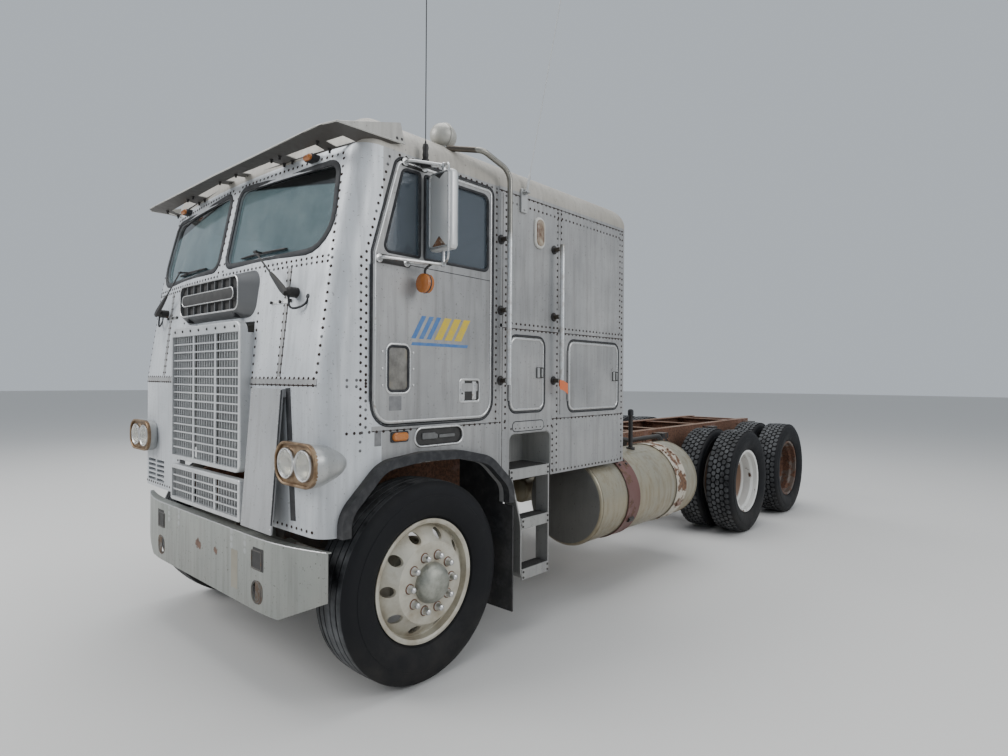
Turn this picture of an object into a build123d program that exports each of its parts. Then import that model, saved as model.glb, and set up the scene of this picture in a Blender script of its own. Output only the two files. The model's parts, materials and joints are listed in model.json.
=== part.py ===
from build123d import *
import os
from math import cos, radians, sin, tan

os.makedirs("parts", exist_ok=True)

# Cab-over tractor unit, sleeper cab, three axles, millimetres.
# +Z is up, the truck faces -Y, its left (driver's) side is +X, the ground is Z = 0.

# Overall lay-out. "Aft" distances run back from the front axle.
front_reach = 708
bumper_overhang = 680
drive_axle_1_aft = 4390
tandem_spacing = 1320
frame_tail = 740
drive_axle_2_aft = drive_axle_1_aft + tandem_spacing
frame_end_aft = drive_axle_2_aft + frame_tail
overall_length = front_reach + frame_end_aft
front_axle_y = front_reach - overall_length / 2

# Tyres and wheels
tyre_radius = 530
tyre_width = 279
bead_radius = 311
rim_width = 210
rim_flange_radius = 324
axle_height = tyre_radius
front_track_half = 1030
dual_inner_x = 746
dual_outer_x = 1083
drive_spindle_radius = 50
drive_spindle_end_x = 930
hand_holes = 10

# Frame
rail_outer_x = 432
rail_height = 270
rail_top = 1060
rail_flange = 89
rail_gauge = 9
rail_front_aft = -455
rail_bottom = rail_top - rail_height

# Cab
cab_half_width = 1143
seat = 0.3
cab_rear_aft = 1955
cab_wall = 34
nose_bottom = 858
skirt_bottom = 972
waist_height = 1570
screen_foot = 2195
cab_eaves = 2730
roof_top = 2900
roof_edge = 150
floor_top = 1185
floor_gauge = 36
tunnel_half_width = 480
tunnel_top = 1600
tunnel_front_aft = -606
seam_gap = 0.3
back_panel_bottom = 1040
pivot_aft = -600
pivot_height = 950

# Doors and lockers
door_gap = 7
door_front_aft = -362
door_rear_aft = 487
door_bottom = 1362
door_top = 2700
belt_height = 2208


def aft(distance):
    return front_axle_y + distance


def write(piece, name):
    piece.part.label = name
    export_step(piece.part, "parts/" + name + ".step")


# Cab shell: plan sections from the nose's lower edge up to the eaves.
# Columns: height, front face aft, sweep-back of the front at the sides, front corner radius
cab_sections = [
    (nose_bottom, -642, 18, 100),
    (waist_height, -642, 18, 100),
    (screen_foot, -592, 62, 110),
    (cab_eaves, -486, 72, 110),
]


def cab_form(inset, stretch):
    """Loft of the cab's plan sections, drawn in by inset and stretched up and down."""
    with BuildPart() as form:
        last = len(cab_sections) - 1
        for index, (height, front, sweep, corner) in enumerate(cab_sections):
            level = height
            if index == 0:
                level -= stretch
            if index == last:
                level += stretch
            side = cab_half_width - inset
            nose = aft(front) + inset
            tail = aft(cab_rear_aft) - inset
            with BuildSketch(Plane.XY.offset(level)):
                with BuildLine():
                    back = Line((-side, tail), (side, tail))
                    Line(back @ 1, (side, nose + sweep))
                    bow = ThreePointArc((side, nose + sweep), (0, nose), (-side, nose + sweep))
                    Line(bow @ 1, back @ 0)
                face = make_face()
                front_corners = face.vertices().group_by(Axis.Y)[0]
                fillet(front_corners, corner - inset)
        loft(ruled=True)
    return form.part


cab_outer = cab_form(0, 0)
cab_inner = cab_form(cab_wall, 20)
cab_shell = cab_outer - cab_inner


def side_slab(points, radii, side, inner_x, outer_x, inset=0):
    """Slab of a side outline, (aft, height) corners with a radius each, between two distances
    from the centreline; side is +1 on the left."""
    with BuildPart() as slab:
        with BuildSketch(Plane.YZ.offset(side * inner_x)):
            with BuildLine():
                FilletPolyline(*[(aft(y), z) for y, z in points], radius=radii, close=True)
            make_face()
            if inset:
                offset(amount=-inset)
        extrude(amount=side * (outer_x - inner_x))
    return slab.part


# Door outline and the openings in it, (aft, height) corners with radii
door_points = [
    (door_front_aft, door_bottom),
    (door_rear_aft, door_bottom),
    (door_rear_aft, door_top),
    (-215, door_top),
    (door_front_aft, belt_height),
]
door_radii = [112, 112, 42, 60, 60]
vent_points = [(-296, belt_height + 12), (-66, belt_height + 12), (-66, 2652), (-178, 2652)]
glass_points = [(-34, belt_height + 8), (448, belt_height + 8), (448, 2652), (-34, 2652)]
peep_points = [(-266, 1530), (-136, 1530), (-136, 1756), (-266, 1756)]
window_outlines = [
    (vent_points, [30, 12, 12, 40]),
    (glass_points, [12, 35, 45, 12]),
    (peep_points, [28, 28, 28, 28]),
]
locker_outlines = {
    "narrow": ([(640, 1392), (980, 1392), (980, 1856), (640, 1856)], [60] * 4),
    "wide": ([(1240, 1376), (1876, 1376), (1876, 1856), (1240, 1856)], [60] * 4),
}
locker_gap = 5
hinge_stand = 7
hinge_lead = 8
hinge_radius = 6.6

# Wheel arch in the cab side and the rubber flare round it
arch_points = [(-500, 800), (-500, 950), (-300, 1146), (-60, 1170), (200, 1158), (420, 1108), (596, 950), (596, 800)]
arch_radii = [0, 120, 150, 300, 300, 200, 110, 0]
step_front_aft = 640
step_rear_aft = 1052
step_points = [
    (step_front_aft, 800),
    (step_rear_aft, 800),
    (step_rear_aft, 1262),
    (step_front_aft, 1262),
]
step_radii = [0, 0, 50, 50]
flare_width = 48
flare_stand = 46

# Cab floor with the engine tunnel, the raised front box and the notches for the step wells
step_well_depth = 300
well_gauge = 6
front_box_aft = -150
front_box_top = 1900
tunnel_gauge = 24
side_inner = cab_half_width - cab_wall
hinge_plate_x = 435
hinge_plate_gauge = 22
pivot_pin_radius = 18
pivot_arm_x = 390
pivot_arm_gauge = 40

with BuildPart() as cab_floor:
    floor_front = aft(tunnel_front_aft)
    floor_back = aft(cab_rear_aft - cab_wall) - seam_gap
    floor_length = floor_back - floor_front
    with BuildSketch(Plane.XY.offset(floor_top - floor_gauge)):
        with Locations((0, (floor_front + floor_back) / 2)):
            Rectangle(2 * (side_inner - seam_gap), floor_length)
    extrude(amount=floor_gauge)
    tunnel_mid = (aft(tunnel_front_aft) + floor_back) / 2
    tunnel_length = floor_back - aft(tunnel_front_aft)
    with BuildSketch(Plane.XZ.offset(-floor_back)):
        with Locations((0, (floor_top - floor_gauge + tunnel_top) / 2)):
            Rectangle(2 * tunnel_half_width, tunnel_top - floor_top + floor_gauge)
    extrude(amount=tunnel_length)
    with BuildSketch(Plane.XZ.offset(-aft(front_box_aft))):
        with Locations((0, (floor_top + front_box_top) / 2)):
            Rectangle(2 * tunnel_half_width, front_box_top - floor_top)
    extrude(amount=aft(front_box_aft) - aft(tunnel_front_aft))
    bore_half = tunnel_half_width - tunnel_gauge
    with BuildSketch(Plane.XZ.offset(-floor_back - 10)):
        with Locations((0, (nose_bottom + tunnel_top - tunnel_gauge) / 2)):
            Rectangle(2 * bore_half, tunnel_top - tunnel_gauge - nose_bottom)
    extrude(amount=tunnel_length + 20, mode=Mode.SUBTRACT)
    with BuildSketch(Plane.XZ.offset(-aft(front_box_aft) + tunnel_gauge)):
        with Locations((0, (nose_bottom + front_box_top - tunnel_gauge) / 2)):
            Rectangle(2 * bore_half, front_box_top - tunnel_gauge - nose_bottom)
    extrude(amount=aft(front_box_aft) - aft(tunnel_front_aft) + 10, mode=Mode.SUBTRACT)
    add(cab_form(cab_wall + seam_gap, 20), mode=Mode.INTERSECT)
    for side in (1, -1):
        notch_inner = side_inner - step_well_depth - seam_gap
        notch_middle = aft((step_front_aft + step_rear_aft) / 2)
        notch_length = step_rear_aft - step_front_aft + 2 * seam_gap
        with Locations((side * (notch_inner + 200), notch_middle, floor_top - floor_gauge / 2)):
            Box(400, notch_length, 4 * floor_gauge, mode=Mode.SUBTRACT)
        with Locations((side * (hinge_plate_x + bore_half + 20) / 2, aft(-440), floor_top + 10)):
            Box(bore_half + 20 - hinge_plate_x + hinge_plate_gauge, 80, 2 * floor_gauge)
        plate_x = side * hinge_plate_x
        with BuildSketch(Plane.YZ.offset(plate_x - hinge_plate_gauge / 2)):
            with BuildLine():
                Polyline(
                    (aft(-470), floor_top),
                    (aft(pivot_aft) - 22, pivot_height + 12),
                    (aft(pivot_aft) - 22, pivot_height - 22),
                    (aft(pivot_aft) + 24, pivot_height - 22),
                    (aft(-480), rail_top + 12),
                    (aft(-400), floor_top - floor_gauge),
                    (aft(-400), floor_top),
                    close=True,
                )
            make_face()
        extrude(amount=hinge_plate_gauge)
        with BuildSketch(Plane.YZ.offset(side * (hinge_plate_x - 75))):
            with Locations((aft(pivot_aft), pivot_height)):
                Circle(pivot_pin_radius)
        extrude(amount=side * 75)
write(cab_floor, "cab_floor")

# Front panel: the nose, the screen surround and the corner pillars
grille_bottom = 1095
grille_top = 1890
nose_open_half = 462
front_split_aft = -300
screen_gap = 0.3
screen_points = [(62, 2232), (1045, 2218), (985, 2642), (62, 2668)]
screen_radii = [55, 150, 75, 55]
vent_x = -880
vent_height = 968
vent_pitch = (162, 31)  # between slots along and up
vent_slot = (146, 20)


def screen_slab(side, inset=0):
    with BuildPart() as slab:
        with BuildSketch(Plane.XZ.offset(-aft(-300))):
            with BuildLine():
                FilletPolyline(*[(side * x, z) for x, z in screen_points], radius=screen_radii, close=True)
            make_face()
            if inset:
                offset(amount=-inset)
        extrude(amount=500)
    return slab.part


with BuildPart() as cab_front:
    add(cab_shell)
    with Locations((0, aft(front_split_aft) - 500, (nose_bottom + cab_eaves) / 2)):
        Box(3000, 1000, cab_eaves - nose_bottom, mode=Mode.INTERSECT)
    with Locations((0, aft(-600), (grille_top + nose_bottom) / 2 - 100)):
        Box(2 * nose_open_half, 300, grille_top - nose_bottom + 200, mode=Mode.SUBTRACT)
    for side in (1, -1):
        add(screen_slab(side), mode=Mode.SUBTRACT)
        add(side_slab(door_points, door_radii, side, 1000, 1300), mode=Mode.SUBTRACT)
        add(side_slab(arch_points, arch_radii, side, 1000, 1300), mode=Mode.SUBTRACT)
    with BuildSketch(Plane.XZ.offset(-aft(front_split_aft))):
        with Locations((vent_x, vent_height)):
            with GridLocations(vent_pitch[0], vent_pitch[1], 2, 5):
                RectangleRounded(vent_slot[0], vent_slot[1], 8)
    extrude(amount=500, mode=Mode.SUBTRACT)
write(cab_front, "cab_front")

glass_inset = 13
glass_gauge = 8
glass_skin = cab_form(glass_inset, 0) - cab_form(glass_inset + glass_gauge, 20)

with BuildPart() as windscreens:
    for side in (1, -1):
        add(screen_slab(side, screen_gap) & glass_skin)
write(windscreens, "windscreens")

# Side walls with the door opening, lockers, wheel arch and step well cut, and an oval recess
recess_aft = 81
recess_height = 1288
recess_length = 342
recess_rise = 96
recess_depth = 12
for side, side_name in ((1, "left"), (-1, "right")):
    with BuildPart() as cab_side:
        add(cab_shell)
        side_front = aft(front_split_aft) + seam_gap
        side_back = aft(cab_rear_aft - cab_wall) - seam_gap
        with Locations((side * 1400, (side_front + side_back) / 2, (nose_bottom + cab_eaves) / 2)):
            Box(1000, side_back - side_front, cab_eaves - nose_bottom, mode=Mode.INTERSECT)
        add(side_slab(door_points, door_radii, side, 1000, 1300), mode=Mode.SUBTRACT)
        add(side_slab(arch_points, arch_radii, side, 1000, 1300), mode=Mode.SUBTRACT)
        add(side_slab(step_points, step_radii, side, 1000, 1300), mode=Mode.SUBTRACT)
        for points, rounds in locker_outlines.values():
            add(side_slab(points, rounds, side, 1000, 1300), mode=Mode.SUBTRACT)
        skirt_length = cab_rear_aft - step_front_aft + 20
        with Locations((side * 1200, aft(step_front_aft - 20 + skirt_length / 2), skirt_bottom - 100)):
            Box(400, skirt_length, 200, mode=Mode.SUBTRACT)
        with BuildSketch(Plane.YZ.offset(side * (cab_half_width - recess_depth))):
            with Locations((aft(recess_aft), recess_height)):
                SlotOverall(recess_length, recess_rise)
        extrude(amount=side * 2 * recess_depth, mode=Mode.SUBTRACT)
    write(cab_side, "cab_side_" + side_name)

with BuildPart() as cab_back:
    add(cab_shell)
    with Locations((0, aft(cab_rear_aft - cab_wall / 2), (skirt_bottom + cab_eaves) / 2)):
        Box(3000, cab_wall, cab_eaves - skirt_bottom, mode=Mode.INTERSECT)
    with Locations((0, aft(cab_rear_aft), back_panel_bottom - 200)):
        Box(2 * side_inner, 200, 400, mode=Mode.SUBTRACT)
    with Locations((0, aft(cab_rear_aft), floor_top - floor_gauge - 200)):
        Box(2 * bore_half, 200, 400, mode=Mode.SUBTRACT)
write(cab_back, "cab_back")

# Roof: a shallow tray with rolled edges that sits on the eaves
roof_rear_corner = 60


def roof_form(inset, drop):
    """The roof's outer form drawn in by inset, with its open side lowered by drop."""
    height, front, sweep, corner = cab_sections[-1]
    side = cab_half_width - inset
    nose = aft(front) + inset
    tail = aft(cab_rear_aft) - inset
    with BuildPart() as form:
        with BuildSketch(Plane.XY.offset(height - drop)):
            with BuildLine():
                back = Line((-side, tail), (side, tail))
                Line(back @ 1, (side, nose + sweep))
                bow = ThreePointArc((side, nose + sweep), (0, nose), (-side, nose + sweep))
                Line(bow @ 1, back @ 0)
            face = make_face()
            front_corners = face.vertices().group_by(Axis.Y)[0]
            fillet(front_corners, corner - inset)
            rear_corners = face.vertices().group_by(Axis.Y)[-1]
            fillet(rear_corners, roof_rear_corner - inset)
        extrude(amount=roof_top - inset - height + drop)
        fillet(form.faces().sort_by(Axis.Z)[-1].edges(), roof_edge - inset)
    return form.part


with BuildPart() as cab_roof:
    add(roof_form(0, 0))
    add(roof_form(cab_wall, 1), mode=Mode.SUBTRACT)
write(cab_roof, "cab_roof")

# Doors and lockers hang on piano hinges: a knuckle line just ahead of the opening, and its leaf
leaf_gauge = 3
leaf_length = 26
leaf_clearance = 0.4


def hinge_strip(side, front_edge, gap, low, high):
    hinge_y = aft(front_edge - hinge_lead)
    leaf_in = side * (cab_half_width + leaf_clearance)
    leaf_out = side * (cab_half_width + leaf_gauge)
    leaf_seat = side * (cab_half_width - 2)
    with BuildPart() as strip:
        with BuildSketch(Plane.XY.offset(low)):
            with Locations((side * (cab_half_width + hinge_stand), hinge_y)):
                Circle(hinge_radius)
            with BuildLine():
                Polyline(
                    (leaf_in, hinge_y),
                    (leaf_in, aft(front_edge + gap + 2)),
                    (leaf_seat, aft(front_edge + gap + 2)),
                    (leaf_seat, aft(front_edge + leaf_length)),
                    (leaf_out, aft(front_edge + leaf_length)),
                    (leaf_out, hinge_y),
                    close=True,
                )
            make_face()
        extrude(amount=high - low)
    return strip.part


# Doors: a panel as thick as the cab wall, glazed, hinged at its front edge
for side, side_name in ((1, "left"), (-1, "right")):
    with BuildPart() as door:
        add(side_slab(door_points, door_radii, side, 1000, 1300, door_gap) & cab_shell)
        for points, rounds in window_outlines:
            add(side_slab(points, rounds, side, 1000, 1300), mode=Mode.SUBTRACT)
        with BuildSketch(Plane.YZ.offset(side * (cab_half_width - 16))):
            with Locations((aft(304), 1528)):
                RectangleRounded(150, 118, 14)
        extrude(amount=side * 40, mode=Mode.SUBTRACT)
        with BuildSketch(Plane.YZ.offset(side * (cab_half_width - 16))):
            with Locations((aft(304), 1546)):
                RectangleRounded(124, 46, 8)
        extrude(amount=side * 18)
        add(hinge_strip(side, door_front_aft, door_gap, door_bottom + door_radii[0] + 10, belt_height - 62))
    write(door, "door_" + side_name)

    with BuildPart() as door_glass:
        pane_outer = cab_half_width - 12
        for points, rounds in window_outlines:
            add(side_slab(points, rounds, side, pane_outer - 6, pane_outer, 0.3))
    write(door_glass, "door_glass_" + side_name)

# Sleeper luggage lockers, two a side, hinged at their front edges
for side, side_name in ((1, "left"), (-1, "right")):
    for locker_name, (points, rounds) in locker_outlines.items():
        with BuildPart() as locker:
            add(side_slab(points, rounds, side, 1000, 1300, locker_gap) & cab_shell)
            latch_aft = points[1][0] - 52
            with BuildSketch(Plane.YZ.offset(side * (cab_half_width - 12))):
                with Locations((aft(latch_aft), 1640)):
                    RectangleRounded(66, 76, 10)
            extrude(amount=side * 16)
            front_edge, low_edge = points[0]
            high_edge = points[2][1]
            add(hinge_strip(side, front_edge, locker_gap, low_edge + rounds[0] + 10, high_edge - rounds[2] - 10))
        write(locker, "locker_" + locker_name + "_" + side_name)

# Mirrors: a tall housing on two bracket arms, with a round turn lamp hung below it
mirror_x = 1256
mirror_aft = -4
mirror_width = 168
mirror_depth = 62
mirror_height = 405
mirror_middle = 2452
arm_gauge = 8
arm_feet = [(2688, -104, 150), (2180, -238, 200)]  # height, foot aft, foot width
post_radius = 9
turn_lamp_x = 1216
turn_lamp_aft = -92
turn_lamp_height = 2076
turn_lamp_radius = 50
whip_radius = 3.5
door_whip_aft = -66
door_whip_top = 4030

for side, side_name in ((1, "left"), (-1, "right")):
    skin = side * (cab_half_width + 0.3)
    arm_top = arm_feet[0][0]
    arm_bottom = arm_feet[1][0]
    with BuildPart() as mirror:
        with BuildSketch(Plane.XY.offset(mirror_middle - mirror_height / 2)):
            with Locations((side * mirror_x, aft(mirror_aft))):
                RectangleRounded(mirror_width, mirror_depth, 24)
        extrude(amount=mirror_height)
        with BuildSketch(Plane.XY.offset(arm_bottom - arm_gauge)):
            with Locations((side * mirror_x, aft(mirror_aft))):
                Circle(post_radius)
        extrude(amount=arm_top - arm_bottom + 2 * arm_gauge)
        for height, foot_aft, foot_width in arm_feet:
            with BuildSketch(Plane.XY.offset(height - arm_gauge / 2)):
                with BuildLine():
                    Polyline(
                        (skin, aft(foot_aft) - foot_width / 2),
                        (skin + side * 40, aft(foot_aft) - foot_width / 2),
                        (side * mirror_x, aft(mirror_aft) - 16),
                        (side * (mirror_x + 16), aft(mirror_aft)),
                        (side * mirror_x, aft(mirror_aft) + 16),
                        (skin, aft(foot_aft) + foot_width / 2),
                        close=True,
                    )
                make_face()
            extrude(amount=arm_gauge)
            with Locations((skin + side * 3, aft(foot_aft), height)):
                Box(6, foot_width, 44)
        with BuildSketch(Plane.XZ.offset(-aft(turn_lamp_aft) + 30)):
            with Locations((side * turn_lamp_x, turn_lamp_height)):
                Circle(turn_lamp_radius)
        extrude(amount=-60)
        with BuildSketch(Plane.XY.offset(turn_lamp_height + turn_lamp_radius - 4)):
            with Locations((side * turn_lamp_x, aft(turn_lamp_aft))):
                Circle(post_radius)
        extrude(amount=arm_bottom - turn_lamp_height - turn_lamp_radius + 4)
        if side == 1:
            with BuildSketch(Plane.XY.offset(arm_top - arm_gauge / 2)):
                with Locations((skin + 40, aft(door_whip_aft))):
                    Circle(30)
            extrude(amount=arm_gauge)
            with BuildSketch(Plane.XY.offset(arm_top)):
                with Locations((skin + 40, aft(door_whip_aft))):
                    Circle(18)
            extrude(amount=120)
            with BuildSketch(Plane.XY.offset(arm_top + 100)):
                with Locations((skin + 40, aft(door_whip_aft))):
                    Circle(whip_radius)
            extrude(amount=door_whip_top - arm_top - 100)
    write(mirror, "mirror_" + side_name)

# Drop visor over the screens: a slotted sheet that runs up on to the roof's front edge, with end
# wings and, between the slots, gussets to the cab's head rail
visor_half_width = 1165
visor_gauge = 5
visor_tip = (-640, 2778)
visor_root = (-300, 2912)
wing_rear = (-238, 2752)
slot_front_aft = -575
slot_rear_aft = -455
visor_slots = [(330, 300), (805, 280), (-330, 300), (-805, 280), (0, 130)]  # middle, length
gusset_x = (115, 585, 985)
gusset_gauge = 6
gusset_points = [(-600, 2794), (-430, 2862), (-430, 2700), (-478, 2700)]
roof_clear = roof_form(-seat, 0)
nose_clear = cab_form(-seat, 0)

with BuildPart() as visor:
    with BuildSketch(Plane.XY.offset(2600)):
        with BuildLine():
            Polyline(
                (-visor_half_width, aft(visor_root[0])),
                (-visor_half_width, aft(visor_tip[0] + 60)),
                (-visor_half_width + 90, aft(visor_tip[0] + 22)),
                (0, aft(visor_tip[0])),
                (visor_half_width - 90, aft(visor_tip[0] + 22)),
                (visor_half_width, aft(visor_tip[0] + 60)),
                (visor_half_width, aft(visor_root[0])),
                close=True,
            )
        make_face()
    extrude(amount=500)
    with BuildSketch(Plane.YZ.offset(-visor_half_width - 10)):
        with BuildLine():
            Polyline(
                (aft(visor_tip[0]), visor_tip[1]),
                (aft(visor_root[0]), visor_root[1]),
                (aft(visor_root[0]), visor_root[1] + visor_gauge),
                (aft(visor_tip[0]), visor_tip[1] + visor_gauge),
                close=True,
            )
        make_face()
    extrude(amount=2 * visor_half_width + 20, mode=Mode.INTERSECT)
    with BuildSketch(Plane.XY.offset(visor_tip[1])):
        for slot_x, slot_length in visor_slots:
            with Locations((slot_x, aft((slot_front_aft + slot_rear_aft) / 2))):
                RectangleRounded(slot_length, slot_rear_aft - slot_front_aft, 12)
    extrude(amount=150, mode=Mode.SUBTRACT)
    for side in (1, -1):
        for place in gusset_x:
            with BuildSketch(Plane.YZ.offset(side * place - gusset_gauge / 2)):
                with BuildLine():
                    Polyline(*[(aft(y), z) for y, z in gusset_points], close=True)
                make_face()
            extrude(amount=gusset_gauge)
        with BuildSketch(Plane.YZ.offset(side * (visor_half_width - visor_gauge))):
            with BuildLine():
                Polyline(
                    (aft(visor_tip[0] + 60), visor_tip[1] + 22),
                    (aft(visor_tip[0] + 60), visor_tip[1] - 4),
                    (aft(wing_rear[0]), wing_rear[1]),
                    (aft(wing_rear[0]), wing_rear[1] + 40),
                    (aft(visor_root[0]), visor_root[1]),
                    close=True,
                )
            make_face()
        extrude(amount=side * visor_gauge)
    add(roof_clear, mode=Mode.SUBTRACT)
    add(nose_clear, mode=Mode.SUBTRACT)
write(visor, "visor")

# Main grille and low grille: a rounded frame round three columns of thin upright vanes, parted by
# two broad uprights, with ledges across their fronts
grille_aft = -690
grille_depth = 40
grille_reach = 120
grille_cheek = 14
grille_frame = 24
grille_band = 56
grille_half_width = 466
grille_columns = 3
divider_width = 22
column_vanes = 8
vane_width = 5
vane_depth = 16
ledge_height = 8
ledge_depth = 9
cross_bars = 14
frame_round = 8
low_grille_bottom = 842
low_grille_top = 1062
low_cross_bars = 3


def grille(bottom, top, band, crosses, corner):
    """One grille; band is the depth of its frame's top edge."""
    width = 2 * grille_half_width
    height = top - bottom
    middle = (top + bottom) / 2
    front = aft(grille_aft)
    open_width = width - 2 * grille_frame
    open_height = height - grille_frame - band
    open_middle = bottom + grille_frame + open_height / 2
    column_pitch = open_width / grille_columns
    vane_pitch = column_pitch / (column_vanes + 1)
    ledge_pitch = open_height / (crosses + 1)
    with BuildPart() as piece:
        with BuildSketch(Plane.XZ.offset(-front)):
            with Locations((0, middle)):
                RectangleRounded(width, height, corner)
        extrude(amount=-grille_depth)
        fillet(piece.faces().sort_by(Axis.Y)[0].edges(), frame_round)
        with BuildSketch(Plane.XZ.offset(-front)):
            with Locations((0, open_middle)):
                Rectangle(open_width, open_height)
        extrude(amount=-grille_depth, mode=Mode.SUBTRACT)
        for side in (1, -1):
            cheek_middle = front + grille_reach / 2 + frame_round
            with Locations((side * (grille_half_width - grille_cheek / 2), cheek_middle, middle)):
                Box(grille_cheek, grille_reach - 2 * frame_round, height - 2 * corner)
        with BuildSketch(Plane.XZ.offset(-front - frame_round)):
            with Locations((0, open_middle)):
                with GridLocations(column_pitch, 1, grille_columns - 1, 1):
                    Rectangle(divider_width, open_height + grille_frame)
                with GridLocations(1, ledge_pitch, 1, crosses):
                    Rectangle(open_width + grille_frame, ledge_height)
        extrude(amount=-ledge_depth)
        with BuildSketch(Plane.XZ.offset(-front - frame_round - ledge_depth)):
            with Locations((0, open_middle)):
                with GridLocations(column_pitch, 1, grille_columns, 1):
                    with GridLocations(vane_pitch, 1, column_vanes, 1):
                        Rectangle(vane_width, open_height + grille_frame)
        extrude(amount=-vane_depth)
        add(nose_clear, mode=Mode.SUBTRACT)
    return piece.part


with BuildPart() as grilles:
    add(grille(grille_bottom, grille_top, grille_band, cross_bars, 60))
    add(grille(low_grille_bottom, low_grille_top, grille_frame, low_cross_bars, 16))
write(grilles, "grilles")

# Nose trim: the flared, barred box over the grille with its plain middle plate and two buffers,
# and the loose flap beside the grille
box_foot = (-570, 2030, 996, 284, 90)  # aft, middle height, length, height, corner
box_face = (-668, 2045, 780, 190, 50)
box_rim = 9
box_recess = 18
box_bars = 7
box_bar_width = 7
box_plate = (690, 66)
buffer_x = 305
buffer_height = 1936
buffer_radius = 17
buffer_aft = -646
flap_left = 520
flap_right = 832
with BuildPart() as nose_trim:
    for section_aft, middle, length, rise, corner in (box_foot, box_face):
        with BuildSketch(Plane.XZ.offset(-aft(section_aft))):
            with Locations((0, middle)):
                RectangleRounded(length, rise, corner)
    loft(ruled=True)
    face_aft, middle, length, rise, corner = box_face
    inner_length = length - 2 * box_rim
    inner_rise = rise - 2 * box_rim
    with BuildSketch(Plane.XZ.offset(-aft(face_aft))):
        with Locations((0, middle)):
            RectangleRounded(inner_length, inner_rise, corner - box_rim)
    extrude(amount=-box_recess, mode=Mode.SUBTRACT)
    with BuildSketch(Plane.XZ.offset(-aft(face_aft + 3))):
        with Locations((0, middle)):
            with GridLocations(inner_length / (box_bars + 1), 1, box_bars, 1):
                Rectangle(box_bar_width, rise - box_rim)
            RectangleRounded(box_plate[0], box_plate[1], box_plate[1] / 2 - 1)
    extrude(amount=-box_recess)
    with BuildSketch(Plane.XZ.offset(-aft(buffer_aft))):
        with Locations((buffer_x, buffer_height), (-buffer_x, buffer_height)):
            Circle(buffer_radius)
    extrude(amount=-60)
    with BuildSketch(Plane.YZ.offset(flap_left)):
        with BuildLine():
            Polyline(
                (aft(-630), 1540),
                (aft(-656), 1540),
                (aft(-front_reach), 846),
                (aft(-front_reach) + 8, 846),
                (aft(-648), 1500),
                (aft(-630), 1500),
                close=True,
            )
        make_face()
    extrude(amount=flap_right - flap_left)
    add(nose_clear, mode=Mode.SUBTRACT)
write(nose_trim, "nose_trim")

# Lamps: twin headlamps in teardrop pods, roof markers, side markers and low turn lamps
headlamp_height = 1199
headlamp_x = (937, 1089)
headlamp_radius = 66
bezel_radius = 73
pod_sections = [  # aft, middle from the centreline, half width, half height
    (-690, 1018, 180, 101),
    (-640, 1021, 178, 99),
    (-585, 1038, 142, 84),
    (-530, 1062, 102, 60),
    (-500, 1090, 56, 32),
]
pod_rim = 12
pod_recess = 10
marker_x = 850
marker_height = 2678
side_clear = cab_half_width + seat


def lamp_pod(side):
    """Teardrop pod that runs round the nose's corner, with two domed lamps in its rimmed face."""
    with BuildPart() as pod:
        for section_aft, centre, half_width, half_height in pod_sections:
            with BuildSketch(Plane.XZ.offset(-aft(section_aft))):
                with Locations((side * centre, headlamp_height)):
                    RectangleRounded(2 * half_width, 2 * half_height, 0.9 * half_height)
        loft(ruled=True)
        face_aft, centre, half_width, half_height = pod_sections[0]
        with BuildSketch(Plane.XZ.offset(-aft(face_aft))):
            with Locations((side * centre, headlamp_height)):
                inner_height = half_height - pod_rim
                RectangleRounded(2 * (half_width - pod_rim), 2 * inner_height, 0.9 * inner_height)
        extrude(amount=-pod_recess, mode=Mode.SUBTRACT)
        places = [(side * x, headlamp_height) for x in headlamp_x]
        with BuildSketch(Plane.XZ.offset(-aft(face_aft + 3))):
            with Locations(*places):
                Circle(bezel_radius)
        extrude(amount=-pod_recess)
        for place_x, place_z in places:
            with Locations(Location((place_x, aft(face_aft), place_z), (90, 0, 0))):
                Cone(headlamp_radius, headlamp_radius - 14, 24)
    return pod.part


with BuildPart() as lamps:
    for side in (1, -1):
        add(lamp_pod(side))
        with BuildSketch(Plane.XZ.offset(-aft(-502))):
            with Locations((side * marker_x, marker_height)):
                RectangleRounded(76, 40, 14)
        extrude(amount=-120)
    add(nose_clear, mode=Mode.SUBTRACT)
    for side in (1, -1):
        with BuildSketch(Plane.YZ.offset(side * side_clear)):
            with Locations((aft(916), 2521)):
                RectangleRounded(104, 196, 48)
            with Locations((aft(-192), 1302)):
                RectangleRounded(110, 54, 10)
        extrude(amount=side * 22)
write(lamps, "lamps")

# Mudguards: rubber arch flares round the wheel openings and flaps hung behind the front wheels
mudflap_aft = 630
mudflap_gauge = 10
mudflap_bottom = 205
mudflap_inner_x = 735
mudflap_outer_x = 1190
floor_bottom = floor_top - floor_gauge
with BuildPart() as mudguards:
    for side in (1, -1):
        flare_inner = side_slab(arch_points, arch_radii, side, side_clear, side_clear + flare_stand)
        flare = side_slab(arch_points, arch_radii, side, side_clear, side_clear + flare_stand, -flare_width)
        with Locations((side * side_clear, aft(100), nose_bottom - 250)):
            below = Box(400, 2400, 500, mode=Mode.PRIVATE)
        add(flare - flare_inner - below)
        with BuildSketch(Plane.XZ.offset(-aft(mudflap_aft - mudflap_gauge / 2))):
            with BuildLine():
                Polyline(
                    (side * mudflap_inner_x, mudflap_bottom),
                    (side * mudflap_outer_x, mudflap_bottom),
                    (side * mudflap_outer_x, nose_bottom - 20),
                    (side * (side_inner - 4), nose_bottom - 20),
                    (side * (side_inner - 4), floor_bottom - seat),
                    (side * mudflap_inner_x, floor_bottom - seat),
                    close=True,
                )
            make_face()
        extrude(amount=-mudflap_gauge)
write(mudguards, "mudguards")

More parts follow.
